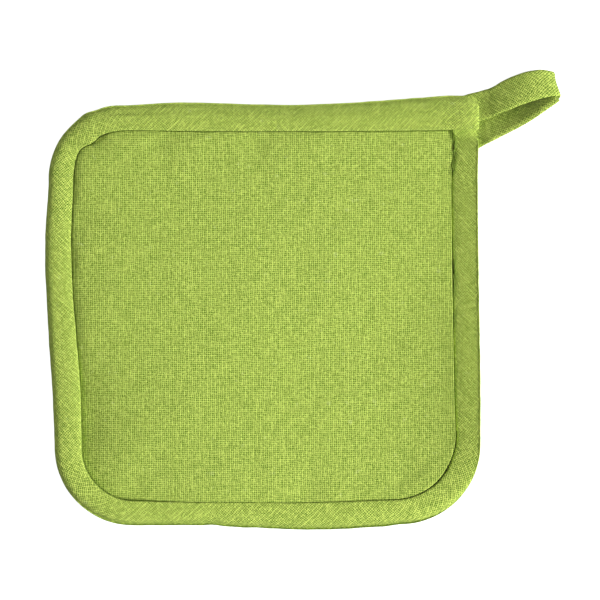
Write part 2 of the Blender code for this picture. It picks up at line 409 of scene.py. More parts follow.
def thread_mesh(courses: list[list[Vector]], radius: float, sides: int,
                end_share: float = 0.45) -> bmesh.types.BMesh:
    """Joined mesh of round threads that follow their courses, in millimetres.

    Args:
        courses: A row of points for each thread.
        radius: Radius of the thread.
        sides: Sides of its section.
        end_share: Share of the radius that is left at a thread's ends.

    Returns:
        A new bmesh in metres.
    """
    builder = bmesh.new()
    for course in courses:
        ring_before = None
        for index, point in enumerate(course):
            before = course[max(index - 1, 0)]
            after = course[min(index + 1, len(course) - 1)]
            turn = (after - before).to_track_quat("Z", "Y").to_matrix().to_4x4()
            narrow = end_share if index in (0, len(course) - 1) else 1.0
            made = bmesh.ops.create_circle(
                builder, cap_ends=index == 0, segments=sides, radius=radius * narrow * MM,
                matrix=Matrix.Translation(point * MM) @ turn)
            ring = list({edge for vert in made["verts"] for edge in vert.link_edges})
            if ring_before:
                bmesh.ops.bridge_loops(builder, edges=ring_before + ring)
            ring_before = ring
        bmesh.ops.edgenet_fill(builder, edges=ring_before)
    bmesh.ops.recalc_face_normals(builder, faces=builder.faces)
    return builder


# ---- Finishes ----


class Cut(Enum):
    """Angle between a cut's length and its warp, in degrees."""

    STRAIGHT = 0.0
    BIAS = 45.0
    TAPE = 38.0


class Grain(Enum):
    """Coordinates that a weave follows."""

    OBJECT = "Object"
    FLAT_CLOTH = "UV"


class Wire:
    """Number socket that takes part in Python expressions."""

    def __init__(self, bench: "Bench", socket: bpy.types.NodeSocket) -> None:
        """Keep the socket and the bench that its nodes are made on."""
        self.bench = bench
        self.socket = socket

    def math(self, operation: str, *values: "Wire | float") -> "Wire":
        """Math node on this number and the given ones."""
        inputs = {index: value for index, value in enumerate((self, *values))}
        return self.bench.wire("ShaderNodeMath", {"operation": operation}, inputs)

    def __add__(self, other: "Wire | float") -> "Wire":
        """Sum."""
        return self.math("ADD", other)

    def __radd__(self, other: float) -> "Wire":
        """Sum with a number in front."""
        return self.math("ADD", other)

    def __sub__(self, other: "Wire | float") -> "Wire":
        """Difference."""
        return self.math("SUBTRACT", other)

    def __rsub__(self, other: float) -> "Wire":
        """Difference from a number in front."""
        return self.bench.wire("ShaderNodeMath", {"operation": "SUBTRACT"}, {0: other, 1: self})

    def __mul__(self, other: "Wire | float") -> "Wire":
        """Product."""
        return self.math("MULTIPLY", other)

    def __rmul__(self, other: float) -> "Wire":
        """Product with a number in front."""
        return self.math("MULTIPLY", other)

    def __pow__(self, other: "Wire | float") -> "Wire":
        """Power."""
        return self.math("POWER", other)


class Bench:
    """Material that is put together node by node."""

    def __init__(self, name: str) -> None:
        """Start a material with only a Principled shader and its output.

        Args:
            name: Name of the material.
        """
        self.material = bpy.data.materials.new(name)
        self.material.use_nodes = True
        self.tree = self.material.node_tree
        self.shader = self.tree.nodes["Principled BSDF"]

    def node(self, kind: str, settings: dict | None = None,
             sockets: dict | None = None) -> bpy.types.ShaderNode:
        """Add a node.

        Args:
            kind: Blender's type of the node.
            settings: Its properties, which are set first.
            sockets: Values or links of its inputs, by name or number.

        Returns:
            The new node.
        """
        made = self.tree.nodes.new(kind)
        for key, value in (settings or {}).items():
            setattr(made, key, value)
        for key, value in (sockets or {}).items():
            socket = made.inputs[key]
            if isinstance(value, Wire):
                self.tree.links.new(value.socket, socket)
            elif isinstance(value, bpy.types.NodeSocket):
                self.tree.links.new(value, socket)
            else:
                socket.default_value = value
        return made

    def wire(self, kind: str, settings: dict | None = None, sockets: dict | None = None,
             output: int = 0) -> Wire:
        """Add a node and hand back one of its outputs."""
        return Wire(self, self.node(kind, settings, sockets).outputs[output])

    def range(self, value: Wire, low: float, high: float, to_low: float = 0.0,
              to_high: float = 1.0) -> Wire:
        """Soft change from one range to another, which stops at its ends."""
        return self.wire("ShaderNodeMapRange", {"interpolation_type": "SMOOTHSTEP"},
                         {0: value, 1: low, 2: high, 3: to_low, 4: to_high})

    def noise(self, vector: bpy.types.NodeSocket, scale: float, detail: float,
              dimensions: str = "3D") -> Wire:
        """Noise from about 0 to 1 at a vector."""
        return self.wire("ShaderNodeTexNoise", {"noise_dimensions": dimensions},
                         {"Vector": vector, "Scale": scale, "Detail": detail})

    def two_noises(self, vector: bpy.types.NodeSocket, scale: float,
                   detail: float) -> tuple[Wire, Wire]:
        """Make two noises that differ from each other.

        Args:
            vector: Where they are read.
            scale: How fine they are.
            detail: How many finer noises lie on top.

        Returns:
            Both noises, from about 0 to 1.
        """
        colour = self.node("ShaderNodeTexNoise", sockets={
            "Vector": vector, "Scale": scale, "Detail": detail}).outputs["Color"]
        split = self.node("ShaderNodeSeparateColor", sockets={0: colour})
        return Wire(self, split.outputs[0]), Wire(self, split.outputs[1])

    def chance(self, value: Wire) -> Wire:
        """Random number from 0 to 1 for a whole number."""
        return self.wire("ShaderNodeTexWhiteNoise", {"noise_dimensions": "1D"}, {"W": value})

    def blend(self, share: Wire, first: "Colour | bpy.types.NodeSocket",
              second: "Colour | bpy.types.NodeSocket") -> bpy.types.NodeSocket:
        """Colour between two colours."""
        made = self.node("ShaderNodeMix", {"data_type": "RGBA"}, {0: share, 6: first, 7: second})
        return made.outputs[2]

    def combine(self, x: Wire, y: Wire) -> bpy.types.NodeSocket:
        """Vector of two numbers."""
        return self.node("ShaderNodeCombineXYZ", sockets={0: x, 1: y}).outputs[0]


@dataclass(frozen=True)
class WovenCotton:
    """Plain weave of lime green cotton, coarse and a little uneven, with painted shade in its gaps
    and painted highlight on its yarns' crowns.

    Attributes:
        name: Name of the material.
        cut: Angle of the warp to the cut's length.
        grain: Coordinates that the weave follows.
        yarn: Colour on top of the yarns.
        gap_shade_colour: Painted shade colour in the gaps between the yarns.
        nub: Colour of thick, lint-covered places.
        level: Share of the yarn's colour in the middle between crowns and gaps.
        contrast: How strongly the painted crown highlight, the crossings' random tone and the painted
            gap shade stand out.
        pitch: Distance between neighbouring yarns.
        relief: Height of the weave.
        pairing: How much closer the two yarns of a pair lie, in yarns.
        over: How far a yarn rises where it passes over another, in yarns.
        crown_painted_highlight: Painted highlight that makes the yarns' backs lighter.
        gap_painted_shade: Painted shade that makes the gaps between the yarns darker.
        gap_painted_shade: How much darker the gaps are.
        crossing_light: How much one crossing differs from the next.
        tint_light: How much one yarn differs from the next.
        patches: How much wide patches differ, and the scale of their noise.
        specks: How much small specks differ, and the scale of their noise.
        lint: How strongly the nubs show, and the scale of their noise.
        drift: How far the yarns wander, in yarns, and the scale of that noise.
        jitter: How far they wobble from crossing to crossing, and the scale of that noise.
        roughness: Roughness of the fibres.
    """

    name: str
    cut: Cut
    grain: Grain
    yarn: Colour = (0.630, 0.775, 0.150, 1.0)
    gap_shade_colour: Colour = (0.045, 0.140, 0.000, 1.0)
    nub: Colour = (0.680, 0.790, 0.280, 1.0)
    level: float = 0.543
    contrast: float = 1.2
    pitch: float = 0.875
    relief: float = 0.22
    pairing: float = 0.10
    over: float = 0.42
    crown_painted_highlight: float = 0.20
    gap_painted_shade: float = 1.45
    crossing_light: float = 0.26
    tint_light: float = 0.10
    patches: tuple[float, float] = (0.06, 0.028)
    specks: tuple[float, float] = (0.16, 0.70)
    lint: tuple[float, float] = (0.5, 0.24)
    drift: tuple[float, float] = (1.7, 0.075)
    jitter: tuple[float, float] = (0.75, 0.42)
    roughness: float = 0.9

    def make(self) -> bpy.types.Material:
        """Build the material.

        Returns:
            The finished material.
        """
        bench = Bench(self.name)
        warp_place, weft_place, cloth = self.yarn_places(bench)
        warp, warp_tint = self.one_yarn(bench, warp_place, weft_place, seed=3.0)
        weft, weft_tint = self.one_yarn(bench, weft_place, warp_place, seed=61.0)
        wave = (warp_place * math.pi).math("COSINE") * (weft_place * math.pi).math("COSINE")
        warp_height = warp + wave * self.over
        weft_height = weft - wave * self.over
        height = warp_height.math("MAXIMUM", weft_height)
        specks = bench.noise(cloth, self.specks[1], 2.0) - 0.5
        # Painted shade in the gaps and painted highlight on the crowns, with random tone at each
        # crossing.
        shade_and_tone = self.weave_shade_and_tone(bench, warp_place, weft_place, (1.0 - warp) * (1.0 - weft), height)
        warp_on_top = bench.range(warp_height - weft_height, -0.15, 0.15)
        tint = warp_tint * warp_on_top + weft_tint * (1.0 - warp_on_top)
        patches = bench.noise(cloth, self.patches[1], 3.0) - 0.5
        # Share of the yarn's colour: painted weave shade and highlight, with the yarns' random tint,
        # patches and specks.
        light = (self.level + shade_and_tone * self.contrast + (tint - 0.5) * self.tint_light
                 + patches * self.patches[0] + specks * self.specks[0])
        light = light.math("MAXIMUM", 0.0).math("MINIMUM", 1.0)
        # Runs from the painted gap shade colour up to the yarn's colour.
        colour = bench.blend(light, self.gap_shade_colour, self.yarn)
        lint = bench.range(bench.noise(cloth, self.lint[1], 1.0), 0.70, 0.80)
        colour = bench.blend(lint * light * self.lint[0], colour, self.nub)
        bump = bench.node("ShaderNodeBump", sockets={
            "Strength": 0.8, "Distance": self.relief * MM, "Height": height + specks * 0.3})
        shader = bench.shader.inputs
        bench.tree.links.new(colour, shader["Base Color"])
        bench.tree.links.new(bump.outputs[0], shader["Normal"])
        shader["Roughness"].default_value = self.roughness
        shader["Specular IOR Level"].default_value = 0.12
        shader["Sheen Weight"].default_value = 0.03
        shader["Sheen Roughness"].default_value = 0.6
        return bench.material

    def weave_shade_and_tone(self, bench: Bench, warp_place: Wire, weft_place: Wire, gap: Wire,
                    height: Wire) -> Wire:
        """Painted shade in the gaps and painted highlight on the yarns' crowns, with each crossing's
        random tone.

        Args:
            bench: Material that the nodes go to.
            warp_place: Place across the warp, counted in yarns.
            weft_place: Place across the weft.
            gap: 1 in the middle of a gap between four yarns, 0 on a yarn's back; it places the
                painted gap shade.
            height: Height of the weave, which places the painted crown highlight.

        Returns:
            What is added to the share of the yarn's colour.
        """
        crossing = self.cell_chance(bench, warp_place + 0.5, weft_place + 0.5, 57.0)
        # Painted shade in the gaps, deeper in some gaps than in others.
        gap_shade_size = self.cell_chance(bench, warp_place, weft_place, 83.0)
        gap = bench.range(gap, 0.12, 0.60) * (0.12 + gap_shade_size ** 1.6 * 0.88)
        # Painted highlight on the raised backs of the yarns.
        crown = bench.range(height, 0.35, 1.25)
        return crown * self.crown_painted_highlight - gap * self.gap_painted_shade + (crossing - 0.5) * self.crossing_light

    def yarn_places(self, bench: Bench) -> tuple[Wire, Wire, bpy.types.NodeSocket]:
        """Where a point of the cloth lies, counted in yarns.

        Args:
            bench: Material that the nodes go to.

        Returns:
            Place across the warp, place across the weft, and the vector in millimetres.
        """
        source = bench.node("ShaderNodeTexCoord").outputs[self.grain.value]
        turned = bench.node("ShaderNodeMapping", sockets={
            "Vector": source, "Rotation": (0.0, 0.0, math.radians(self.cut.value)),
            "Scale": (1.0 / MM, 1.0 / MM, 1.0 / MM)}).outputs[0]
        split = bench.node("ShaderNodeSeparateXYZ", sockets={0: turned})
        drift = bench.two_noises(turned, self.drift[1], 2.0)
        jitter = bench.two_noises(turned, self.jitter[1], 1.0)
        warp, weft = (Wire(bench, split.outputs[axis]) * (1.0 / self.pitch)
                      + (drift[axis] - 0.5) * self.drift[0] + (jitter[axis] - 0.5) * self.jitter[0]
                      for axis in range(2))
        return warp + (warp * math.pi).math("SINE") * self.pairing, weft, turned

    @staticmethod
    def cell_chance(bench: Bench, across: Wire, along: Wire, step: float) -> Wire:
        """Random number from 0 to 1 for each cell of the weave."""
        return bench.chance(across.math("FLOOR") * step + along.math("FLOOR"))

    @staticmethod
    def one_yarn(bench: Bench, across: Wire, along: Wire, seed: float) -> tuple[Wire, Wire]:
        """Height and tint of one set of yarns.

        Args:
            bench: Material that the nodes go to.
            across: Place across these yarns, counted in yarns.
            along: Place along them.
            seed: Keeps warp and weft apart.

        Returns:
            The yarn's profile from 0 in the gap to 1 on its back, and its tint from 0 to 1.
        """
        number = (across + 0.5).math("FLOOR")
        own = bench.chance(number + seed)
        slub = bench.noise(bench.combine(number * 7.31 + seed, along * 0.32), 1.0, 2.0, "2D")
        round_back = (across * math.pi).math("COSINE") ** 2.0
        fullness = bench.range(slub, 0.25, 0.75, 1.0, 0.45)
        return round_back ** fullness, own * 0.3 + slub * 0.7


@dataclass(frozen=True)
class SewingThread:
    """Twisted cotton thread in the cloth's own green.

    Attributes:
        name: Name of the material.
        colour: Colour on top of a ply.
        shade: Colour between two plies.
        twist: Turns for each millimetre.
        roughness: Roughness of the fibres.
    """

    name: str
    colour: Colour = (0.300, 0.440, 0.045, 1.0)
    shade: Colour = (0.120, 0.200, 0.010, 1.0)
    twist: float = 0.9
    roughness: float = 0.75

    def make(self) -> bpy.types.Material:
        """Build the material.

        Returns:
            The finished material.
        """
        bench = Bench(self.name)
        source = bench.node("ShaderNodeTexCoord").outputs["Object"]
        ply = bench.wire("ShaderNodeTexWave", {"bands_direction": "DIAGONAL"}, {
            "Vector": source, "Scale": self.twist / MM, "Distortion": 1.5}, output=1)
        colour = bench.blend(ply, self.shade, self.colour)
        bump = bench.node("ShaderNodeBump", sockets={
            "Strength": 0.5, "Distance": 0.05 * MM, "Height": ply})
        bench.tree.links.new(colour, bench.shader.inputs["Base Color"])
        bench.tree.links.new(bump.outputs[0], bench.shader.inputs["Normal"])
        bench.shader.inputs["Roughness"].default_value = self.roughness
        return bench.material


@dataclass(frozen=True)
class PaleTable:
    """Plain matt white surface under the holder.

    Attributes:
        name: Name of the material.
        colour: Its colour.
        glow: Light of its own, which keeps it white in the picture.
        roughness: Roughness of the surface.
    """

    name: str = "pale_table"
    colour: Colour = (0.93, 0.93, 0.93, 1.0)
    glow: float = 0.75
    roughness: float = 0.95

    def make(self) -> bpy.types.Material:
        """Build the material.

        Returns:
            The finished material.
        """
        bench = Bench(self.name)
        shader = bench.shader.inputs
        shader["Base Color"].default_value = self.colour
        shader["Roughness"].default_value = self.roughness
        shader["Specular IOR Level"].default_value = 0.1
        shader["Emission Color"].default_value = (1.0, 1.0, 1.0, 1.0)
        shader["Emission Strength"].default_value = self.glow
        return bench.material


# ---- Pad ----


@dataclass(frozen=True)
class Pucker:
    """Trough or ridge that the seam draws into the front panel.

    Attributes:
        x: Place of its root on the seam.
        y: Place of its root on the seam.
        run_x: Direction in which it runs into the panel.
        run_y: Direction in which it runs into the panel.
        depth: Depth of a trough, or minus the height of a ridge.
        width: Half width along the seam.
        reach: How far it runs in.
        rise_share: Share of the reach over which it deepens.
        fade_share: Share of the reach over which it fades out.
    """

    x: float
    y: float
    run_x: float
    run_y: float
    depth: float
    width: float
    reach: float
    rise_share: float = 0.25
    fade_share: float = 0.7

    def at(self, place: Vector) -> float:
        """Height that it adds to the panel.

        Args:
            place: The place in plan.

        Returns:
            Height in millimetres, below zero in a trough.
        """
        run = Vector((self.run_x, self.run_y)).normalized()
        offset = place - Vector((self.x, self.y))
        inwards = offset.dot(run) / self.reach
        if inwards <= 0.0:
            return 0.0
        aside = offset.dot(Vector((-run.y, run.x))) / self.width
        fade = soft_step(inwards / self.rise_share) * bell(inwards / self.fade_share)
        return -self.depth * fade * bell(aside)


@dataclass(frozen=True)
class BySide:
    """Measure of the front panel's edge, which isn't the same on every side.

    Attributes:
        usual: Its value at the top and the bottom.
        right: What it gains towards the right.
        left: What it gains towards the left.
        low: What it gains at the left below the middle.
    """

    usual: float
    right: float
    left: float
    low: float = 0.0

    def at(self, right: float, left: float, low: float) -> float:
        """Value where the panel has these shares of the form of its sides."""
        return self.usual + self.right * right + self.left * left + self.low * low


@dataclass
class Wadding:
    """Filling that pushes a panel cut a little too large, worked out by a cloth simulation.

    Attributes:
        stride: Grid lines of the panel between two lines of the simulated cloth.
        pressure: Push of the filling.
        spare: Share by which the panel is cut larger than its place.
        hold: How strongly the filling keeps the cloth where it is.
        frames: Last frame of the simulation.
        reach: Furthest that a point may move, in millimetres.
        keep: Share of the movement that the panel takes on.
        quality: Steps of the simulation in each frame.
        mass: Mass that it gives each point.
        stiffness: How strongly the cloth resists a bend.
    """

    stride: int = 4
    pressure: float = 4.0
    spare: float = 0.008
    hold: float = 0.2
    frames: int = 20
    reach: float = 1.2
    keep: float = 0.16
    quality: int = 6
    mass: float = 0.3
    stiffness: float = 0.5

    def settle(self, cells: int, place: Place) -> None:
        """Simulate the panel and keep how far each of its points rises.

        Args:
            cells: Quads along each side of the finished panel.
            place: Gives the place of a point of the finished panel, in millimetres.
        """
        count = cells // self.stride
        order = []

        def coarse_place(column: int, row: int) -> Vector:
            """Place of a simulated point, noted in the order in which they are made."""
            order.append((column, row))
            return place(column * self.stride, row * self.stride)

        cloth = self.hang_cloth(cloth_grid(count, count, coarse_place, lambda *_: (0.0, 0.0)))
        scene = bpy.context.scene
        for number in range(1, self.frames + 1):
            scene.frame_set(number)
        settled = cloth.evaluated_get(bpy.context.evaluated_depsgraph_get()).to_mesh()
        self.rises = {}
        for (column, row), start, end in zip(order, cloth.data.vertices, settled.vertices):
            rise = (end.co.z - start.co.z) / MM
            self.rises[column, row] = self.keep * self.reach * math.tanh(rise / self.reach)
        self.last = count
        scene.frame_set(1)
        mesh = cloth.data
        bpy.data.objects.remove(cloth)
        bpy.data.meshes.remove(mesh)
        log.info("wadding: the panel rises %.2f to %.2f mm",
                 min(self.rises.values()), max(self.rises.values()))

    def hang_cloth(self, builder: bmesh.types.BMesh) -> bpy.types.Object:
        """Turn a bmesh into a cloth that is held along its edge.

        Args:
            builder: The cloth's shape, which is freed.

        Returns:
            The cloth, ready to be simulated.
        """
        rim = {vert.index for vert in builder.verts if vert.is_boundary}
        mesh = bpy.data.meshes.new("panel_to_settle")
        builder.to_mesh(mesh)
        builder.free()
        cloth = bpy.data.objects.new("panel_to_settle", mesh)
        bpy.context.scene.collection.objects.link(cloth)
        held = cloth.vertex_groups.new(name="held")
        for vert in mesh.vertices:
            held.add([vert.index], 1.0 if vert.index in rim else self.hold, "REPLACE")
        modifier = cloth.modifiers.new("settle", "CLOTH")
        settings = modifier.settings
        settings.quality = self.quality
        settings.mass = self.mass
        settings.vertex_group_mass = held.name
        settings.use_pressure = True
        settings.uniform_pressure_force = self.pressure
        settings.shrink_min = -self.spare
        settings.bending_stiffness = self.stiffness
        settings.effector_weights.gravity = 0.0
        modifier.collision_settings.use_collision = False
        modifier.point_cache.frame_end = self.frames
        return cloth

    def rise(self, column: int, row: int) -> float:
        """How far a point of the finished panel rises.

        Args:
            column: Column of the point.
            row: Row of the point.

        Returns:
            The rise between those of the four simulated points around it.
        """
        first, share = divmod(column / self.stride, 1.0)
        second, up = divmod(row / self.stride, 1.0)
        first, second = int(first), int(second)
        after, above = min(first + 1, self.last), min(second + 1, self.last)
        low = mix(self.rises[first, second], self.rises[after, second], share)
        high = mix(self.rises[first, above], self.rises[after, above], share)
        return mix(low, high, up)


@dataclass
class Pad:
    """Wadded pad: a crowned, puckered front panel and a flat back panel, sewn round the edge.

    Attributes:
        cells: Quads along each side of a panel.
        crown: Height of the front panel's highest place.
        right_fall: How much lower the panel lies at its right edge, in its upper half.
        fall_run: Where that fall starts and ends.
        fall_bend: Share of it in which the panel bends down.
        low_fall: How much lower it lies right of the middle, in its lower half.
        low_run: Where that fall lies.
        low_curl: How much it rises again from there to its right edge.
        curl_x: Where that rise is reached in full.
        curl_reach: How far in from there it reaches.
        lower_half: Where the upper half's fall gives way to the lower half's.
        left_part: Where the left edge's form starts and is complete.
        low_part: Where the lower left edge's form starts and is complete.
        seam_height: Height of the front panel where it goes under the binding.
        frayed_height: Height added to that where threads have worked loose.
        frayed_y: Middle of that stretch.
        frayed_spread: How far out it fades.
        shallow: Height added to that at the top and bottom, where the ditch is shallow.
        back_edge: Height of the back panel where it goes under the binding.
        back_run: How far from the seam the back panel comes down to the table.
        tuck: How far the front panel passes the seam.
        brim_reach: How far in the panel's upright brim reaches.
        brim_thin: Shares by which that is less at the right, and at the top and bottom.
        brim_share: Share of the crown's rise that the brim gains.
        brim_gain: What that share gains right of the middle.
        brim_run: Where it gains that.
        steep_reach: How far in the steep part behind the brim reaches.
        steep_share: Share of the rise that the steep part gains.
        gentle_reach: How far in the gentle part behind that reaches.
        right_lip: How much the panel's right edge stands up.
        lip_reach: How far in that reaches.
        calm_reach: Distance from the seam within which the panel lies still.
        ripple_reach: How far in the seam's ripples reach.
        ripples: Ripples that the seam draws in.
        swells: Wide, low unevenness.
        dents: Small unevenness.
        edge_cells: Places of the first grid lines, which crowd along the seam.
        puckers: The main troughs and ridges.
        pit: Hole at the square corner of the seam.
    """

    cells: int = 172
    crown: float = 8.7
    right_fall: float = 2.4
    fall_run: tuple[float, float] = (-20.0, 87.0)
    fall_bend: float = 0.35
    low_fall: float = 3.6
    low_run: Ramp = Ramp(-45.0, 105.0)
    low_curl: float = 1.6
    curl_x: float = 88.0
    curl_reach: float = 12.0
    lower_half: Ramp = Ramp(40.0, -60.0)
    left_part: Ramp = Ramp(-10.0, -75.0)
    low_part: Ramp = Ramp(0.0, -45.0)
    seam_height: float = 2.5
    frayed_height: float = 3.1
    frayed_y: float = 74.0
    frayed_spread: float = 7.5
    shallow: float = 1.9
    back_edge: float = 1.4
    back_run: Ramp = Ramp(1.2, 7.0)
    tuck: float = 1.1
    brim_reach: float = 0.16
    brim_thin: tuple[float, float] = (0.72, 0.45)
    brim_share: BySide = BySide(0.60, 0.38, -0.12, -0.45)
    brim_gain: float = 0.10
    brim_run: Ramp = Ramp(0.0, 40.0)
    steep_reach: BySide = BySide(1.6, -0.9, 1.1)
    steep_share: BySide = BySide(0.10, -0.095, 0.10, -0.13)
    gentle_reach: BySide = BySide(24.0, 36.0, -8.0, -1.5)
    right_lip: float = 0.3
    lip_reach: float = 7.0
    calm_reach: float = 2.0
    ripple_reach: float = 9.0
    ripples: Lumps = Lumps(0.26, 5.2, 4.0)
    swells: Lumps = Lumps(0.16, 24.0, 9.0)
    dents: Lumps = Lumps(0.05, 9.0, 2.0)
    edge_cells: tuple[float, ...] = (0.0, 0.12, 0.3, 0.6, 1.05, 1.7, 2.5)
    puckers: tuple[Pucker, ...] = (
        Pucker(-47.5, 84.0, 0.1, -1.0, 0.75, 6.0, 18.0),
        Pucker(-31.0, 84.0, 0.0, -1.0, -0.45, 7.0, 14.0),
        Pucker(-3.5, 84.0, 0.0, -1.0, 0.7, 6.5, 18.0),
        Pucker(24.0, 84.0, 0.1, -1.0, -0.4, 7.0, 13.0),
        Pucker(57.0, 84.0, -0.1, -1.0, 0.4, 5.0, 12.0),
        Pucker(-87.0, 62.0, 1.0, 0.0, -0.4, 7.0, 12.0),
        Pucker(-87.0, 43.0, 1.0, 0.1, 0.7, 6.0, 18.0),
        Pucker(-87.0, 25.0, 1.0, 0.0, -0.45, 8.0, 12.0),
        Pucker(-82.5, -49.0, 1.0, 0.1, 0.6, 6.5, 20.0),
        Pucker(-61.0, -84.0, 0.1, 1.0, 0.55, 6.0, 14.0),
        Pucker(21.0, -86.0, 0.0, 1.0, 0.6, 7.0, 16.0),
        Pucker(70.0, -78.0, -0.6, 0.8, 0.5, 9.0, 20.0),
    )
    pit: Spot = Spot(85.5, 84.0, -1.8, 0.55)

    def build(self, finish: bpy.types.Material) -> bpy.types.Object:
        """Make the pad.

        Args:
            finish: Cloth of both panels.

        Returns:
            The closed, padded piece.
        """
        self.seam = SEAM.points()
        self.sides = self.seam_sides()
        self.tree = kdtree.KDTree(len(self.seam))
        for index, point in enumerate(self.seam):
            self.tree.insert((point.x, point.y, 0.0), index)
        self.tree.balance()
        self.wadding = Wadding()
        if self.wadding:
            self.wadding.settle(self.cells, self.shaped_point)
        front = cloth_grid(self.cells, self.cells, self.front_point, self.flat_point)
        self.pull_rim_out(front)
        back = cloth_grid(self.cells, self.cells, self.back_point, self.flat_point)
        bmesh.ops.reverse_faces(back, faces=back.faces)
        back_mesh = bpy.data.meshes.new("back_panel")
        back.to_mesh(back_mesh)
        back.free()
        front.from_mesh(back_mesh)
        bpy.data.meshes.remove(back_mesh)
        rims = [edge for edge in front.edges if edge.is_boundary]
        bmesh.ops.bridge_loops(front, edges=rims)
        piece = new_piece("pad_cloth", front, finish)
        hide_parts("pad")
        return piece

    def pull_rim_out(self, builder: bmesh.types.BMesh) -> None:
        """Carry the front panel's edge past the seam, under the binding.

        Args:
            builder: The front panel.
        """
        rim = [edge for edge in builder.edges if edge.is_boundary]
        made = bmesh.ops.extrude_edge_only(builder, edges=rim)
        for part in made["geom"]:
            if isinstance(part, bmesh.types.BMVert):
                flat = Vector((part.co.x, part.co.y, 0.0))
                part.co += flat.normalized() * self.tuck * MM

    def seam_sides(self) -> list[list[Vector]]:
        """Cut the seam at the middles of its corners.

        Returns:
            Points of the bottom, right, top and left stretch, one on each grid line.
        """
        self.lines = self.grid_lines()
        steps = SEAM.corner_steps + SEAM.side_steps
        middles = [index * steps + SEAM.corner_steps // 2 for index in range(4)]
        count = len(self.seam)
        runs = []
        for first in range(4):
            start, end = middles[first], middles[(first + 1) % 4]
            end += count if end <= start else 0
            run = [self.seam[index % count] for index in range(start, end + 1)]
            lengths = lengths_along(run)
            even = []
            place = 0
            for line in self.lines:
                goal = lengths[-1] * line
                while place < len(run) - 2 and lengths[place + 1] < goal:
                    place += 1
                share = (goal - lengths[place]) / (lengths[place + 1] - lengths[place])
                even.append(run[place].lerp(run[place + 1], min(share, 1.0)))
            runs.append(even)
        right, bottom, left, top = runs
        return [list(reversed(bottom)), list(reversed(right)), top, left]

    def grid_lines(self) -> list[float]:
        """Spread the grid lines over the panel.

        Returns:
            Shares of the panel's width at which they lie, crowded at both ends.
        """
        width = SEAM.corners[0].x - SEAM.corners[3].x
        ends = [place / width for place in self.edge_cells]
        inner = self.cells - 2 * (len(ends) - 1)
        middle = [mix(ends[-1], 1.0 - ends[-1], step / inner) for step in range(1, inner)]
        return ends + middle + [1.0 - end for end in reversed(ends)]

    def panel_place(self, column: int, row: int) -> Vector:
        """Place of a grid point inside the seam.

        Args:
            column: Column of the point.
            row: Row of the point.

        Returns:
            Its place in plan.
        """
        bottom, right, top, left = self.sides
        across, up = self.lines[column], self.lines[row]
        edges = (bottom[column] * (1.0 - up) + top[column] * up
                 + left[row] * (1.0 - across) + right[row] * across)
        corners = ((bottom[0] * (1.0 - across) + bottom[-1] * across) * (1.0 - up)
                   + (top[0] * (1.0 - across) + top[-1] * across) * up)
        return edges - corners

    def flat_point(self, column: int, row: int) -> tuple[float, float]:
        """Place of a grid point on the flat cloth."""
        place = self.panel_place(column, row)
        return place.x, place.y

    def from_seam(self, place: Vector) -> tuple[float, Vector]:
        """How a place lies to the seam.

        Args:
            place: The place in plan.

        Returns:
            Distance in from the seam, softened in the square corner, and the way out.
        """
        _, index, _ = self.tree.find((place.x, place.y, 0.0))
        distance, nearest = math.inf, place
        for first in (index - 1, index):
            start, end = self.seam[first], self.seam[(first + 1) % len(self.seam)]
            foot, share = intersect_point_line(place, start, end)
            foot = start if share < 0.0 else end if share > 1.0 else foot
            if (foot - place).length < distance:
                distance, nearest = (foot - place).length, foot
        square = SEAM.corners[0]
        further = max(square.x - place.x, square.y - place.y, distance, 0.01)
        sharpness = 2.5
        distance /= (1.0 + (distance / further) ** sharpness) ** (1.0 / sharpness)
        return distance, Vector((nearest.x, nearest.y)).normalized()

    def ground(self, place: Vector) -> float:
        """Height that the panel would have without its seam.

        Args:
            place: The place in plan.

        Returns:
            Height in millimetres, level at the left and falling slowly to the right.
        """
        start, end = self.fall_run
        share = max(0.0, (place.x - start) / (end - start))
        bend = self.fall_bend
        fall = share * share / (2.0 * bend) if share < bend else share - bend / 2.0
        upper = self.right_fall * fall / (1.0 - bend / 2.0)
        lower = self.low_fall * self.low_run.at(place.x)
        lower -= self.low_curl * math.exp((place.x - self.curl_x) / self.curl_reach)
        return self.crown - mix(upper, lower, self.lower_half.at(place.y))

    def front_point(self, column: int, row: int) -> Vector:
        """Place of a point of the front panel, with the ripples that the wadding gives it.

        Args:
            column: Column of the point.
            row: Row of the point.

        Returns:
            Its place in millimetres.
        """
        point = self.shaped_point(column, row)
        if self.wadding:
            point.z += self.wadding.rise(column, row)
        return point

    def shaped_point(self, column: int, row: int) -> Vector:
        """Place of a point of the front panel before the wadding has pushed it.

        Args:
            column: Column of the point.
            row: Row of the point.

        Returns:
            Its place in millimetres.
        """
        place = self.panel_place(column, row)
        distance, outwards = self.from_seam(place)
        right = max(0.0, place.x / self.fall_run[1]) ** 3
        left = self.left_part.at(place.x)
        sides = (right, left, left * self.low_part.at(place.y))
        thin = max(self.brim_thin[0] * right, self.brim_thin[1] * outwards.y ** 2)
        brim = fill_up(distance, self.brim_reach * (1.0 - thin))
        steep = fill_up(distance, self.steep_reach.at(*sides))
        gentle = fill_up(distance, self.gentle_reach.at(*sides))
        brim_share = (self.brim_share.at(*sides)
                      + self.brim_gain * self.brim_run.at(place.x) * (1.0 - right))
        steep_share = self.steep_share.at(*sides)
        rise = brim_share * brim + steep_share * steep + (1.0 - brim_share - steep_share) * gentle
        frayed = right * bell((place.y - self.frayed_y) / self.frayed_spread)
        base = self.seam_height + self.frayed_height * frayed
        base += self.shallow * outwards.y ** 2 * (1.0 - right) * (1.0 - sides[2])
        height = base + (self.ground(place) - base) * rise
        height += self.right_lip * right * brim * math.exp(-distance / self.lip_reach)
        height += self.pit.at(place) + sum(pucker.at(place) for pucker in self.puckers)
        return Vector((place.x, place.y, height + self.unevenness(place, distance, outwards)))

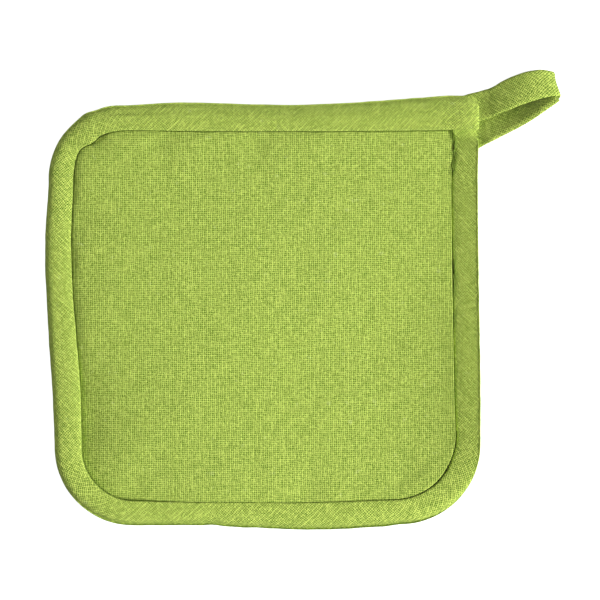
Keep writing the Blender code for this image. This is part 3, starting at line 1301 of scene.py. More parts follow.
    def unevenness(self, place: Vector, distance: float, outwards: Vector) -> float:
        """Small rise and fall of the front panel.

        Args:
            place: The place in plan.
            distance: How far in from the seam it lies.
            outwards: The way from it to the seam.

        Returns:
            Height in millimetres.
        """
        along = place.x * outwards.y - place.y * outwards.x
        stretch = 0.35
        ripples = self.ripples.at(along, distance * stretch) * math.exp(-distance / self.ripple_reach)
        return fill_up(distance, self.calm_reach) * (
            ripples + self.swells.at(place.x, place.y) + self.dents.at(place.x, place.y))

    def back_point(self, column: int, row: int) -> Vector:
        """Place of a point of the back panel.

        Args:
            column: Column of the point.
            row: Row of the point.

        Returns:
            Its place in millimetres, on the table where the pad rests.
        """
        place = self.panel_place(column, row)
        distance, _ = self.from_seam(place)
        return Vector((place.x, place.y, self.back_edge * (1.0 - self.back_run.at(distance))))


# ---- Binding ----


@dataclass(frozen=True)
class BandRow:
    """One point of the binding's section.

    Attributes:
        share: Share of the way from the outer fold to the seam.
        inset: Distance added to that, towards the seam.
        crown: Share of the band's height.
        lift: Height added to that.
        mouth: How far the point draws in where the loop's ends come out.
        lip: How far the point follows the inner fold as the ditch widens.
    """

    share: float
    inset: float
    crown: float
    lift: float
    mouth: float = 0.0
    lip: float = 0.0

    @property
    def on_back(self) -> bool:
        """Whether the point lies on the strip's back, which faces up."""
        return self.crown == 1.0

    @property
    def at_rim(self) -> bool:
        """Whether it lies where the back turns down to the outer fold."""
        return self.on_back and self.share == 0.0

    @property
    def inside(self) -> bool:
        """Whether it lies inside the fold, under the strip's back."""
        return self.crown == 0.0 and self.lift > 3.0


@dataclass(frozen=True)
class Station:
    """Line across the binding: its inner and outer end, and how the strip is pressed there.

    Attributes:
        inner: Point on the seam.
        outer: Point on the outer fold.
        pressed: 1 where the strip lies under its own other end, else 0.
        lap: 1 where the strip lies over its own other end, else 0.
        ending: Share of the rounding at the strip's top end.
        along: Place along the strip.
    """

    inner: Vector
    outer: Vector
    pressed: float
    lap: float
    ending: float
    along: float


@dataclass
class Binding:
    """Bias strip folded round the whole edge, which starts and ends at the top right corner.

    Attributes:
        crown: Height of the strip's back above the table.
        lean: How much lower it is at the right than in the middle.
        top_rise: How much the top strip rises from its left end to its middle.
        top_run: Where it rises.
        lap_rise: How much the strip's end rises over its own start.
        lap_run: Where it rises.
        lap_swell: What the whole lap adds.
        lap_hollow: How much higher the lap's inside lies.
        tilts: How far the top and the bottom strip fall outwards, to each side of their middle.
        low_round: How much rounder the bottom strip's rim is.
        rim_round: How much deeper the rounding reaches in at the top and the bottom.
        dome: How domed the left strip is.
        slants: How much the right strip rises at its rim and at the seam.
        rim_stand: Share of the rounding that the right strip's rim stands up.
        end_bulge: How far the lap's end bulges out, the middle of that, and its spread.
        row_steps: Pieces between two points of the section.
        flat_width: Width of the strip before it was folded; not used.
        usual_width: Width of the band where none can be measured.
        search: Distance beyond which no point of the outer fold is looked for.
        right_x: Place beyond which a point lies on the right strip.
        pressed: Lowest and highest height of the strip's start, which lies inside its end.
        pressed_run: How far down the right side it lies there.
        lap_reach: Where along the top the lap begins.
        start_length: How far the strip's start reaches under its end.
        start_steps: Stations along that.
        turn_steps: Stations over which the lines across the strip turn at its ends.
        end_steps: Stations along the strip's end.
        end_crowding: How much these crowd towards the end.
        end_x: Where the outer fold ends.
        end_pull: How far it is drawn in there.
        end_round: Length over which the end's edge is rounded.
        end_drop: How far that rounding goes down.
        mouth: Middle of the slit that the loop comes out of.
        mouth_reach: Half its length.
        swell: Rise and fall of the whole strip along its length.
        lumps: Unevenness of its back.
        lump_shift: How far these lumps differ along and across from the rim to the seam.
        wobble: Unevenness of its outline.
        ditch_widths: Width of the ditch at the top and bottom, and what the left and right add.
        ditch_least: Least width of the ditch.
        ditch_waves: Unevenness of its width, as a share.
        ditch_rough: Fine unevenness of its width, as a share.
        gaps: Where the binding stands off the panel.
        rows: The folded strip's section.
    """

    crown: float = 6.1
    lean: float = 0.4
    top_rise: float = 0.9
    top_run: Ramp = Ramp(-80.0, 95.0)
    lap_rise: float = 0.75
    lap_run: Ramp = Ramp(85.0, 8.5)
    lap_swell: float = 0.10
    lap_hollow: float = 1.5
    tilts: tuple[float, float] = (1.1, 0.55)
    low_round: float = 0.8
    rim_round: float = 0.5
    dome: float = 0.55
    slants: tuple[float, float] = (3.1, 0.5)
    rim_stand: float = 0.98
    end_bulge: tuple[float, float, float] = (1.1, 94.4, 3.2)
    row_steps: int = 2
    flat_width: float = 36.0
    usual_width: float = 12.0
    search: float = 26.0
    right_x: float = 60.0
    pressed: tuple[float, float] = (1.25, 4.9)
    pressed_run: Ramp = Ramp(-0.5, 9.0)
    lap_reach: Ramp = Ramp(70.0, 15.0)
    start_length: float = 7.0
    start_steps: int = 10
    turn_steps: int = 12
    end_steps: int = 20
    end_crowding: float = 1.5
    end_x: float = 101.0
    end_pull: float = 2.9
    end_round: float = 4.5
    end_drop: float = 1.15
    mouth: tuple[float, float] = (99.5, 89.0)
    mouth_reach: float = 11.0
    swell: Lumps = Lumps(0.16, 22.0, 5.0)
    lumps: Lumps = Lumps(0.10, 6.5, 7.0)
    lump_shift: tuple[float, float] = (9.0, 12.0)
    wobble: Lumps = Lumps(0.15, 5.5, 3.0)
    ditch_widths: tuple[float, float, float] = (0.05, 0.10, 0.26)
    ditch_least: float = 0.03
    ditch_waves: Lumps = Lumps(0.9, 9.0, 17.0)
    ditch_rough: Lumps = Lumps(0.4, 2.6, 19.0)
    gaps: tuple[Spot, ...] = (
        Spot(84.0, -72.0, 0.5, 16.0), Spot(-75.0, 80.2, 1.35, 3.6),
        Spot(87.6, 73.5, 1.7, 7.0), Spot(88.6, 18.5, 0.6, 6.5),
    )
    rows: tuple[BandRow, ...] = (
        BandRow(1.0, -1.6, 0.0, 3.35),
        BandRow(1.0, -0.3, 0.0, 3.1, 0.0, 1.0),
        BandRow(1.0, 0.0, 0.4, 1.1, 0.0, 1.0),
        BandRow(1.0, 0.0, 1.0, -1.0, 0.0, 1.0),
        BandRow(1.0, -0.2, 1.0, -0.5, 0.0, 0.9),
        BandRow(1.0, -0.9, 1.0, -0.26, 0.0, 0.5),
        BandRow(1.0, -2.2, 1.0, -0.1),
        BandRow(0.62, 0.0, 1.0, 0.0),
        BandRow(0.42, 0.0, 1.0, 0.02),
        BandRow(0.0, 3.1, 1.0, -0.10),
        BandRow(0.0, 1.9, 1.0, -0.42),
        BandRow(0.0, 1.05, 1.0, -1.0),
        BandRow(0.0, 0.42, 1.0, -1.85),
        BandRow(0.0, 0.08, 0.6, -0.2),
        BandRow(0.0, 0.0, 0.42, 0.0, 2.5),
        BandRow(0.0, 0.25, 0.2, 0.0, 2.0),
        BandRow(0.0, 1.1, 0.0, 0.25, 0.2),
        BandRow(0.0, 3.0, 0.0, 0.02),
        BandRow(0.55, 0.0, 0.0, 0.0),
        BandRow(1.0, 0.6, 0.0, 0.02),
        BandRow(1.0, 1.2, 0.0, 0.45),
        BandRow(1.0, 0.7, 0.0, 1.0),
        BandRow(0.5, 0.0, 0.0, 1.1),
        BandRow(0.0, 2.6, 0.0, 1.15, 1.5),
        BandRow(0.0, 1.7, 0.0, 2.4, 2.5),
        BandRow(0.0, 2.6, 0.0, 3.4, 1.5),
    )

    def build(self, finish: bpy.types.Material) -> bpy.types.Object:
        """Make the binding.

        Args:
            finish: Cloth of the strip.

        Returns:
            The folded strip.
        """
        self.outline = OUTER.points()
        self.stations = self.lay_stations()
        self.sections = [self.section(station) for station in self.stations]
        self.widths = [self.across_strip(section) for section in self.sections]
        builder = cloth_grid(len(self.stations) - 1, len(self.sections[0]), self.point, self.flat)
        close_roll(builder)
        piece = new_piece("binding_cloth", builder, finish)
        piece.data.set_sharp_from_angle(angle=math.radians(60.0))
        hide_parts("binding")
        self.stations[-1].along * MM
        return piece

    def point(self, column: int, row: int) -> Vector:
        """Place of a point of the strip."""
        section = self.sections[column]
        return section[row % len(section)]

    def flat(self, column: int, row: int) -> tuple[float, float]:
        """Place of a point on the flat strip."""
        return self.stations[column].along, self.widths[column][row]

    def across_strip(self, section: list[Vector]) -> list[float]:
        """Measure across the flat strip.

        Args:
            section: Points round the folded strip.

        Returns:
            Place of each point on the flat strip, counted from the inner fold.
        """
        places = lengths_along(section + section[:1])
        fold = places[2 * self.row_steps]
        return [place - fold for place in places]

    def lay_stations(self) -> list[Station]:
        """Lay lines across the strip.

        Returns:
            The lines from its start under the lap, clockwise round to its end on top.
        """
        seam = SEAM.points()[SEAM.corner_steps:]
        square = SEAM.corners[0]
        first = seam[0]
        start = [Vector((first.x + 0.2,
                         square.y + self.start_length * (1.0 - step / self.start_steps)))
                 for step in range(self.start_steps)]
        start = [point for point in start if point.y > first.y + 0.3]
        path = start + seam
        turning, half = self.turn_steps, len(path) // 2
        stations = []
        along = 0.0
        for index, inner in enumerate(path):
            run = (path[min(index + 3, len(path) - 1)] - path[max(index - 3, 0)]).normalized()
            if index < len(start) + turning:
                share = max(0, index - len(start)) / turning
                run = Vector((0.0, -1.0)).lerp(run, share).normalized()
            if index > len(path) - turning:
                share = (index - (len(path) - turning)) / turning
                run = run.lerp(Vector((1.0, 0.0)), share).normalized()
            outer = self.outer_point(inner, Vector((-run.y, run.x)))
            if index:
                along += ((inner - path[index - 1]).length
                          + (outer - stations[-1].outer).length) / 2.0
            pressed = lap = 0.0
            if index < half and inner.x > self.right_x:
                pressed = 1.0 - self.pressed_run.at(square.y - inner.y)
            if index > half:
                lap = self.lap_reach.at(inner.x)
            stations.append(Station(inner, outer, pressed, lap, 0.0, along))
        return stations + self.lay_end(stations[-1])

    def lay_end(self, last: Station) -> list[Station]:
        """Lay lines across the strip's top end, where it lies over its own start.

        Args:
            last: The line before them.

        Returns:
            The lines up to the strip's cut end.
        """
        made = []
        along = last.along
        edge_x = min((point for point in self.outline if point.x > self.right_x),
                     key=lambda point: abs(point.y - last.inner.y)).x
        for step in range(1, self.end_steps + 1):
            share = 1.0 - (1.0 - step / self.end_steps) ** self.end_crowding
            inner = Vector((mix(last.inner.x, edge_x, share), last.inner.y - 0.1 * share))
            pull = share ** 4 * self.end_pull
            outer = Vector((mix(last.outer.x, self.end_x, share) - pull,
                            last.outer.y + 0.2 * share - pull))
            along += (inner - (made[-1].inner if made else last.inner)).length
            to_end = (1.0 - share) * (edge_x - last.inner.x)
            ending = max(0.0, 1.0 - to_end / self.end_round)
            made.append(Station(inner, outer, 0.0, 1.0, ending, along))
        return made

    def outer_point(self, inner: Vector, outwards: Vector) -> Vector:
        """Look for the outer fold.

        Args:
            inner: Point of the seam.
            outwards: The way to look, of length 1.

        Returns:
            Nearest point of the outer outline that way.
        """
        best = None
        for index, end in enumerate(self.outline):
            start = self.outline[index - 1]
            run = end - start
            cross = outwards.x * run.y - outwards.y * run.x
            offset = start - inner
            if offset.length > self.search or abs(cross) < 1e-9:
                continue
            reach = (offset.x * run.y - offset.y * run.x) / cross
            share = (offset.x * outwards.y - offset.y * outwards.x) / cross
            if reach > 0.0 and -0.001 <= share <= 1.001 and (best is None or reach < best):
                best = reach
        return inner + outwards * (best if best else self.usual_width)

    def section(self, station: Station) -> list[Vector]:
        """Fold the strip at a station.

        Args:
            station: The line across the strip.

        Returns:
            Points round the fold.
        """
        across = station.inner - station.outer
        inwards = across.normalized()
        side = -inwards
        middle = (station.inner + station.outer) / 2.0
        height = self.back_height(station, middle, side)
        mouth = bell(((station.outer - Vector(self.mouth)).length / self.mouth_reach) ** 2)
        wobble = self.wobble.at(middle.x, middle.y)
        gap = self.ditch(station, side)
        bulge, bulge_y, bulge_spread = self.end_bulge
        points = []
        for row in self.rows:
            depth = row.inset + row.mouth * mouth - row.lip * gap
            if row.at_rim:
                depth *= 1.0 + self.rim_round * side.y ** 4
            place = station.outer + inwards * (across.length * row.share + depth)
            place += side * wobble * (1.0 - 0.75 * row.share)
            place.x += bulge * station.ending ** 2 * bell((place.y - bulge_y) / bulge_spread)
            z = height * row.crown + row.lift
            if row.on_back:
                z += self.back_shape(row, station, side, row.share + row.inset / across.length)
            if row.inside:
                z += self.lap_hollow * station.lap
            points.append(Vector((place.x, place.y, z)))
        self.press(points, station)
        return smooth_row(points, self.row_steps, closed=True)

    def back_height(self, station: Station, middle: Vector, side: Vector) -> float:
        """Height of the strip's back at a station.

        Args:
            station: The line across the strip.
            middle: Its middle.
            side: The way out from the holder.

        Returns:
            Height in millimetres.
        """
        height = self.crown - self.lean * station.outer.x / 100.0
        height += self.swell.at(station.along) + self.lap_swell * station.lap
        height += self.top_rise * max(0.0, side.y) ** 2 * (self.top_run.at(middle.x) - 0.5)
        return height + self.lap_rise * station.lap * self.lap_run.at(middle.x)

    def back_shape(self, row: BandRow, station: Station, side: Vector, place: float) -> float:
        """What the side of the holder adds to a point of the strip's back.

        Args:
            row: The point of the section.
            station: The line across the strip.
            side: The way out from the holder.
            place: Share of the way from the outer fold to the seam.

        Returns:
            Height in millimetres.
        """
        right = max(0.0, side.x) ** 4 * (1.0 - station.lap) * (1.0 - station.pressed)
        left = max(0.0, -side.x) ** 4
        height = right * mix(*self.slants, place)
        height += self.dome * left * (4.0 * place * (1.0 - place) - 0.5)
        tilt = self.tilts[0] if side.y > 0.0 else self.tilts[1]
        height += tilt * side.y ** 2 * (2.0 * place - 1.0)
        if row.at_rim:
            height -= right * self.rim_stand * row.lift
            height += self.low_round * max(0.0, -side.y) ** 2 * row.lift
        shift_along, shift_across = self.lump_shift
        return height + self.lumps.at(station.along + row.share * shift_along,
                                      row.share * shift_across)

    def ditch(self, station: Station, side: Vector) -> float:
        """Width of the ditch between the panel and the binding's inner fold.

        Args:
            station: The line across the strip.
            side: The way out from the holder.

        Returns:
            Width in millimetres.
        """
        usual, left, right = self.ditch_widths
        wide = usual + left * max(0.0, -side.x) ** 2 + right * max(0.0, side.x) ** 2
        rough = self.ditch_rough.at(station.along)
        wide *= 1.0 + self.ditch_waves.at(station.along) + rough
        wide += sum(gap.at(station.inner) for gap in self.gaps) * (1.0 + rough)
        return max(self.ditch_least, wide)

    def press(self, points: list[Vector], station: Station) -> None:
        """Press a section flat inside the lap, and round it off at the lap's end.

        Args:
            points: Points of the section, which are moved.
            station: The line across the strip.
        """
        low, high = self.pressed
        scale = (high - low) / self.crown
        drop = 1.0 - math.sqrt(max(0.0, 1.0 - station.ending ** 2))
        for point, row in zip(points, self.rows):
            if station.pressed:
                point.z = mix(point.z, low + point.z * scale, station.pressed)
            if row.on_back and row.lift > -1.0:
                point.z -= drop * self.end_drop


# ---- Hanging loop ----


@dataclass(frozen=True)
class LoopRow:
    """One place of the tape's course.

    Attributes:
        x: Place of its middle line.
        y: Place of its middle line.
        z: Place of its middle line.
        across: Way that its width runs, seen from above, in degrees.
        roll: Turn about its length, which lifts the lower leg's outer edge, in degrees.
        inner: Width from the middle line to the edge that ends up under the other leg.
        outer: Width from the middle line to the other edge.
        curl: Bend of the outer hem, in degrees.
    """

    x: float
    y: float
    z: float
    across: float
    roll: float = 0.0
    inner: float = 6.3
    outer: float = 6.3
    curl: float = 0.0


@dataclass
class HangingLoop:
    """Tape folded and sewn from a bias strip, bent back on itself.

    The upper leg comes out from under the top strip and lies flat. Past the bend at the tip the
    lower leg goes back standing partly on edge, with its outer hem curled over.

    Attributes:
        thick: Thickness of the tape.
        steps: Pieces between two rows of the course.
        curl_start: Share of the outer width at which the curl starts.
        curl_end: Share at which it is complete.
        curl_pieces: Pieces in which the curl is worked out.
        flat_width: Width of the strip before it was folded.
        waves: Unevenness of both faces.
        inner_edge: Unevenness of the inner edge.
        outer_edge: Unevenness of the outer edge.
        course: Rows from the end under the top strip to the end under the right-hand strip.
        section: The tape's section, as shares of its widths and of half its thickness.
    """

    thick: float = 1.5
    steps: int = 9
    curl_start: float = 0.64
    curl_end: float = 0.74
    curl_pieces: int = 12
    flat_width: float = 15.8
    waves: Lumps = Lumps(0.12, 7.0, 12.0)
    inner_edge: Lumps = Lumps(0.16, 4.0, 13.0)
    outer_edge: Lumps = Lumps(0.16, 4.0, 15.0)
    course: tuple[LoopRow, ...] = (
        LoopRow(91.0, 93.4, 2.9, -72.0, 0.0, 6.5), LoopRow(97.4, 94.8, 3.2, -74.0, -4.0, 6.9, 6.5),
        LoopRow(102.8, 96.4, 4.5, -75.0, -10.0, 6.8, 6.7),
        LoopRow(106.6, 98.2, 6.0, -72.0, -14.0, 6.3, 6.9),
        LoopRow(113.4, 101.2, 7.9, -68.0, -13.0, 6.9, 7.1),
        LoopRow(119.6, 103.6, 9.1, -67.0, -8.0, 6.9, 7.15),
        LoopRow(125.6, 105.4, 9.7, -66.0, -3.0, 6.7, 7.15),
        LoopRow(130.8, 106.3, 9.3, -66.0, 0.0, 6.2, 7.0),
        LoopRow(133.9, 106.0, 7.5, -65.0, 4.0, 5.8, 6.8),
        LoopRow(133.8, 104.9, 5.4, -64.0, 32.0, 5.7, 7.7),
        LoopRow(131.8, 101.8, 5.6, -61.0, 48.0, 6.0, 7.9, 12.0),
        LoopRow(125.6, 96.5, 6.5, -59.5, 56.0, 6.9, 7.6, 30.0),
        LoopRow(119.2, 93.3, 6.2, -59.0, 42.0, 6.9, 7.4, 26.0),
        LoopRow(113.3, 90.3, 5.4, -60.0, 31.0, 6.7, 7.1, 12.0),
        LoopRow(107.5, 87.4, 4.8, -61.0, 25.0, 6.7, 6.9, 4.0),
        LoopRow(101.7, 84.5, 4.2, -62.0, 22.0, 6.8, 6.8),
        LoopRow(96.4, 81.6, 3.1, -63.0, 12.0), LoopRow(91.0, 79.0, 2.7, -63.0),
    )
    section: tuple[tuple[float, float], ...] = (
        (-1.0, 0.0), (-0.98, 0.45), (-0.93, 0.8), (-0.76, 1.0), (-0.6, 0.8), (-0.4, 0.86),
        (-0.15, 0.92), (0.15, 0.95), (0.4, 0.95), (0.6, 0.95), (0.66, 0.95), (0.7, 0.95),
        (0.75, 0.95), (0.93, 0.8), (0.98, 0.45), (1.0, 0.0), (0.98, -0.45), (0.93, -0.8),
        (0.75, -0.95), (0.7, -0.95), (0.66, -0.95), (0.6, -0.95), (0.4, -0.95), (0.15, -0.95),
        (-0.15, -0.92), (-0.4, -0.86), (-0.6, -0.8), (-0.76, -1.0), (-0.93, -0.8),
        (-0.98, -0.45),
    )

    def build(self, finish: bpy.types.Material) -> bpy.types.Object:
        """Make the loop.

        Args:
            finish: Cloth of the tape.

        Returns:
            The folded tape.
        """
        self.lay_stations()
        builder = cloth_grid(len(self.centres) - 1, len(self.section), self.point, self.flat)
        close_roll(builder)
        piece = new_piece("loop_cloth", builder, finish)
        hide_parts("hanging_loop")
        return piece

    def lay_stations(self) -> None:
        """Work out the tape's centres, directions and lengths along its course."""
        self.centres = smooth_row([Vector((row.x, row.y, row.z)) for row in self.course],
                                  self.steps)
        self.widths = smooth_row([Vector((row.inner, row.outer, row.curl))
                                  for row in self.course], self.steps)
        turns = smooth_row([Vector((row.across, row.roll)) for row in self.course], self.steps)
        self.lengths = lengths_along(self.centres)
        self.width_ways = []
        self.ups = []
        for index, turn in enumerate(turns):
            before = self.centres[max(index - 1, 0)]
            after = self.centres[min(index + 1, len(self.centres) - 1)]
            along = (after - before).normalized()
            across, roll = math.radians(turn.x), math.radians(turn.y)
            way = Matrix.Rotation(roll, 3, along) @ Vector((math.cos(across), math.sin(across), 0.0))
            self.width_ways.append(way)
            self.ups.append(way.cross(along).normalized())

    def point(self, column: int, row: int) -> Vector:
        """Place of a point of the tape.

        Args:
            column: Column of the point.
            row: Row of the point.

        Returns:
            Its place in millimetres.
        """
        share, thick = self.section[row % len(self.section)]
        inner, outer, curl = self.widths[column]
        width, edge = (outer, self.outer_edge) if share > 0.0 else (inner, self.inner_edge)
        aside, rise, angle = self.curled(share, width, curl)
        way, up, length = self.width_ways[column], self.ups[column], self.lengths[column]
        normal = up * math.cos(angle) - way * math.sin(angle)
        return (self.centres[column] + way * (aside + edge.at(length) * abs(share) ** 3) + up * rise
                + normal * (thick * self.thick / 2.0 + self.waves.at(length, aside)))

    def curled(self, share: float, width: float, curl: float) -> tuple[float, float, float]:
        """Where a point of the width lies once the outer hem is bent.

        Args:
            share: Share of the width, from -1 at the inner edge to 1 at the outer one.
            width: Width on this side of the middle line.
            curl: Bend of the hem, in degrees.

        Returns:
            Place across the tape, rise from its plane, and angle in radians.
        """
        if share <= self.curl_start or curl <= 0.0:
            return share * width, 0.0, 0.0
        aside, rise, angle = self.curl_start * width, 0.0, 0.0
        step = (share - self.curl_start) / self.curl_pieces
        for index in range(self.curl_pieces):
            place = self.curl_start + step * (index + 0.5)
            bent = soft_step((place - self.curl_start) / (self.curl_end - self.curl_start))
            angle = math.radians(curl) * bent
            aside += step * width * math.cos(angle)
            rise += step * width * math.sin(angle)
        return aside, rise, angle

    def flat(self, column: int, row: int) -> tuple[float, float]:
        """Place of a point on the flat tape.

        Args:
            column: Column of the point.
            row: Row of the point.

        Returns:
            Place along and across the tape.
        """
        count = len(self.section)
        shares = [self.section[index % count][0] for index in range(count + 1)]
        around = sum(abs(after - before) for before, after in
                     zip(shares[:row], shares[1:row + 1]))
        return self.lengths[column], around * self.widths[column].x


# ---- Sewing thread ----


@dataclass
class SeamStitches:
    """Machine stitches that hold the binding, in the ditch in front and on the flap behind.

    Attributes:
        pitch: Length of one stitch with its gap.
        share: Share of the pitch that the thread shows.
        radius: Radius of the thread.
        front_height: Height of the stitches in the ditch.
        back_height: Height of the stitches under the holder.
        dip: How deep a stitch goes in at its ends.
        pieces: Pieces of one stitch.
        sides: Sides of the thread.
    """

    pitch: float = 2.7
    share: float = 0.84
    radius: float = 0.13
    pieces: int = 4
    sides: int = 6
    front_height: float = 3.7
    back_height: float = 0.05
    dip: float = 0.35

    def build(self, finish: bpy.types.Material) -> bpy.types.Object:
        """Make the stitches.

        Args:
            finish: Material of the thread.

        Returns:
            One piece with every stitch.
        """
        seam = SEAM.points()
        lengths = lengths_along(seam)
        courses = []
        for number in range(int(lengths[-1] / self.pitch)):
            start = number * self.pitch
            for height, dip in ((self.front_height, -self.dip), (self.back_height, self.dip)):
                courses.append(self.one_stitch(seam, lengths, start, height, dip))
        return new_piece("seam_stitches", thread_mesh(courses, self.radius, self.sides), finish)

    def one_stitch(self, seam: list[Vector], lengths: list[float], start: float, height: float,
                   dip: float) -> list[Vector]:
        """Course of one stitch.

        Args:
            seam: Points of the seam.
            lengths: How far along the seam each of them lies.
            start: How far along the seam the stitch begins.
            height: Height of its middle.
            dip: How much higher its ends lie.

        Returns:
            Points along the thread.
        """
        course = []
        for step in range(self.pieces + 1):
            goal = start + self.pitch * self.share * step / self.pieces
            index = bisect_left(lengths, goal, 1, len(lengths) - 1)
            share = (goal - lengths[index - 1]) / (lengths[index] - lengths[index - 1])
            place = seam[index - 1].lerp(seam[index], share)
            ends = abs(2.0 * step / self.pieces - 1.0) ** 3
            course.append(Vector((place.x, place.y, height + dip * ends)))
        return course


@dataclass(frozen=True)
class Fray:
    """Stretch of the right-hand seam where threads have worked loose.

    Attributes:
        x: Place of the seam there.
        low: Where the stretch begins.
        high: Where it ends.
        threads: How many threads lie along it.
    """

    x: float
    low: float
    high: float
    threads: int


@dataclass
class LooseThreads:
    """Loose thread ends that lie in and over the right-hand ditch.

    Attributes:
        radius: Radius of a thread.
        sides: Sides of a thread.
        seed: Start of the row of random numbers.
        aside: How far from the seam a thread starts.
        start_heights: Heights at which it starts.
        headings: How far it turns from the way out, in degrees.
        sway: How far it turns at each step, in radians.
        steps: Least and greatest number of steps.
        step: Length of a step across and along the seam.
        climb: How far a step falls or rises.
        reach: How far a thread may stray from its start across the seam.
        heights: Lowest and highest place of a thread.
        stretches: Where the threads lie.
    """

    radius: float = 0.17
    sides: int = 5
    seed: int = 11
    aside: tuple[float, float] = (-0.5, 0.8)
    start_heights: tuple[float, float] = (6.0, 6.7)
    headings: tuple[float, float] = (65.0, 115.0)
    sway: float = 0.35
    steps: tuple[int, int] = (6, 13)
    step: tuple[float, float] = (0.45, 0.55)
    climb: tuple[float, float] = (-0.12, 0.22)
    reach: tuple[float, float] = (-0.9, 1.0)
    heights: tuple[float, float] = (5.8, 7.1)
    stretches: tuple[Fray, ...] = (Fray(87.6, 65.0, 82.5, 24), Fray(88.7, 11.0, 26.0, 12))

    def build(self, finish: bpy.types.Material) -> bpy.types.Object:
        """Make the threads.

        Args:
            finish: Material of the threads.

        Returns:
            One piece with every loose thread.
        """
        chance = random.Random(self.seed)
        courses = []
        for stretch in self.stretches:
            for number in range(stretch.threads):
                place = (number + chance.uniform(0.1, 0.9)) / stretch.threads
                start = Vector((stretch.x + chance.uniform(*self.aside),
                                mix(stretch.low, stretch.high, place),
                                chance.uniform(*self.start_heights)))
                courses.append(self.one_thread(chance, start))
        return new_piece("loose_threads", thread_mesh(courses, self.radius, self.sides), finish)

    def one_thread(self, chance: random.Random, start: Vector) -> list[Vector]:
        """Course of one loose thread.

        Args:
            chance: Source of random numbers.
            start: Where the thread comes out of the seam.

        Returns:
            Points along the thread, in millimetres.
        """
        heading = chance.choice((-1.0, 1.0)) * math.radians(chance.uniform(*self.headings))
        course = []
        point = start.copy()
        for _ in range(chance.randint(*self.steps)):
            course.append(point.copy())
            heading += chance.uniform(-self.sway, self.sway)
            point += Vector((math.cos(heading) * self.step[0], math.sin(heading) * self.step[1],
                             chance.uniform(*self.climb)))
            point.x = min(max(point.x, start.x + self.reach[0]), start.x + self.reach[1])
            point.z = min(max(point.z, self.heights[0]), self.heights[1])
        return course


# ---- Light, table and camera ----


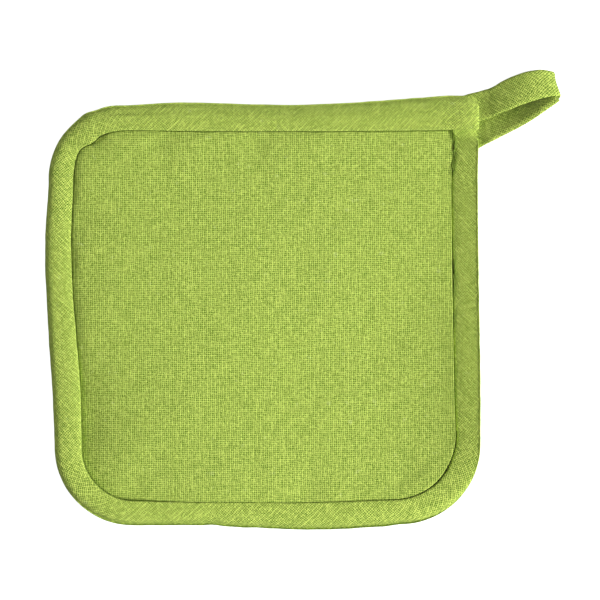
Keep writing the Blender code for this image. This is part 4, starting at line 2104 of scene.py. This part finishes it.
@dataclass
class Studio:
    """Pale table, soft light from the right and from above, and the camera straight above.

    Attributes:
        frame_width: Width of the table that the picture shows.
        frame_middle: What the picture's middle shows.
        lens: Focal length of the camera.
        sensor: Width of its sensor.
        table_size: Length of the table's sides.
        key_power: Power of the light at the right, in watts.
        key_height: How high that light stands above the table, in degrees.
        key_turn: How far it is turned from the right-hand side, anticlockwise, in degrees.
        top_power: Power of the light above, in watts.
        light_distance: How far both lights are from the holder.
        light_size: Length of their sides.
        sky: Strength of the room's even light.
    """

    frame_width: float = 276.5
    frame_middle: tuple[float, float] = (17.1, 6.45)
    lens: float = 200.0
    sensor: float = 36.0
    table_size: float = 6000.0
    key_power: float = 361.0
    key_height: float = 28.0
    key_turn: float = -18.0
    top_power: float = 64.0
    light_distance: float = 5000.0
    light_size: float = 2190.0
    sky: float = 0.20

    def build(self) -> None:
        """Make the table, the lights and the camera."""
        self.build_table()
        self.build_lights()
        self.build_camera()

    def build_table(self) -> None:
        """Lay the table just under the holder."""
        builder = bmesh.new()
        bmesh.ops.create_grid(builder, x_segments=1, y_segments=1,
                              size=self.table_size / 2.0 * MM)
        mesh = bpy.data.meshes.new("pale_table")
        builder.to_mesh(mesh)
        builder.free()
        mesh.materials.append(PaleTable().make())
        table = bpy.data.objects.new("pale_table", mesh)
        table.visible_diffuse = False
        bpy.context.scene.collection.objects.link(table)

    def build_lights(self) -> None:
        """Hang one soft light at the right and one above, and light the room evenly."""
        self.hang_light("soft_key", self.key_power, self.key_height, self.key_turn)
        self.hang_light("soft_top", self.top_power, 90.0, 0.0)
        world = bpy.data.worlds.new("even_room")
        world.use_nodes = True
        background = world.node_tree.nodes["Background"].inputs
        background["Color"].default_value = (1.0, 1.0, 1.0, 1.0)
        background["Strength"].default_value = self.sky
        bpy.context.scene.world = world
        bpy.context.scene.view_settings.view_transform = "Standard"

    def hang_light(self, name: str, power: float, height: float, turn: float) -> None:
        """Hang a square soft light that faces the holder.

        Args:
            name: Name of the light.
            power: Its power in watts.
            height: How high it stands above the table, in degrees.
            turn: How far it is turned from the right-hand side, anticlockwise, in degrees.
        """
        light = bpy.data.lights.new(name, "AREA")
        light.shape = "SQUARE"
        light.size = self.light_size * MM
        light.energy = power
        lamp = bpy.data.objects.new(name, light)
        height, turn = math.radians(height), math.radians(turn)
        way = Vector((math.cos(height) * math.cos(turn), math.cos(height) * math.sin(turn),
                      math.sin(height)))
        lamp.location = way * self.light_distance * MM
        lamp.rotation_euler = way.to_track_quat("Z", "Y").to_euler()
        bpy.context.scene.collection.objects.link(lamp)

    def build_camera(self) -> None:
        """Hang the camera straight above, so that it shows the picture's stretch of table."""
        data = bpy.data.cameras.new("camera_above")
        data.lens = self.lens
        data.sensor_width = self.sensor
        data.clip_end = 100.0
        camera = bpy.data.objects.new("camera_above", data)
        distance = self.frame_width * self.lens / self.sensor
        camera.location = Vector((*self.frame_middle, distance)) * MM
        bpy.context.scene.collection.objects.link(camera)
        bpy.context.scene.camera = camera


# ---- The whole holder ----


def main() -> None:
    """Build every piece in order and report it."""
    logging.basicConfig(level=logging.INFO, format="%(message)s")
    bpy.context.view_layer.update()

    panel = WovenCotton("panel_cloth", Cut.STRAIGHT, Grain.OBJECT).make()
    bias = WovenCotton("bias_cloth", Cut.BIAS, Grain.FLAT_CLOTH, level=0.53, contrast=1.75).make()
    tape = WovenCotton("tape_cloth", Cut.TAPE, Grain.FLAT_CLOTH, level=0.54, contrast=1.5).make()
    thread = SewingThread("sewing_thread").make()

    pieces = [
        Pad().build(panel),
        Binding().build(bias),
        HangingLoop().build(tape),
        SeamStitches().build(thread),
        LooseThreads().build(thread),
    ]
    Studio().build()
    for piece in pieces:
        piece.data.calc_loop_triangles()
        log.info("%s: %d triangles", piece.name, len(piece.data.loop_triangles))


if __name__ == "__main__":
    main()
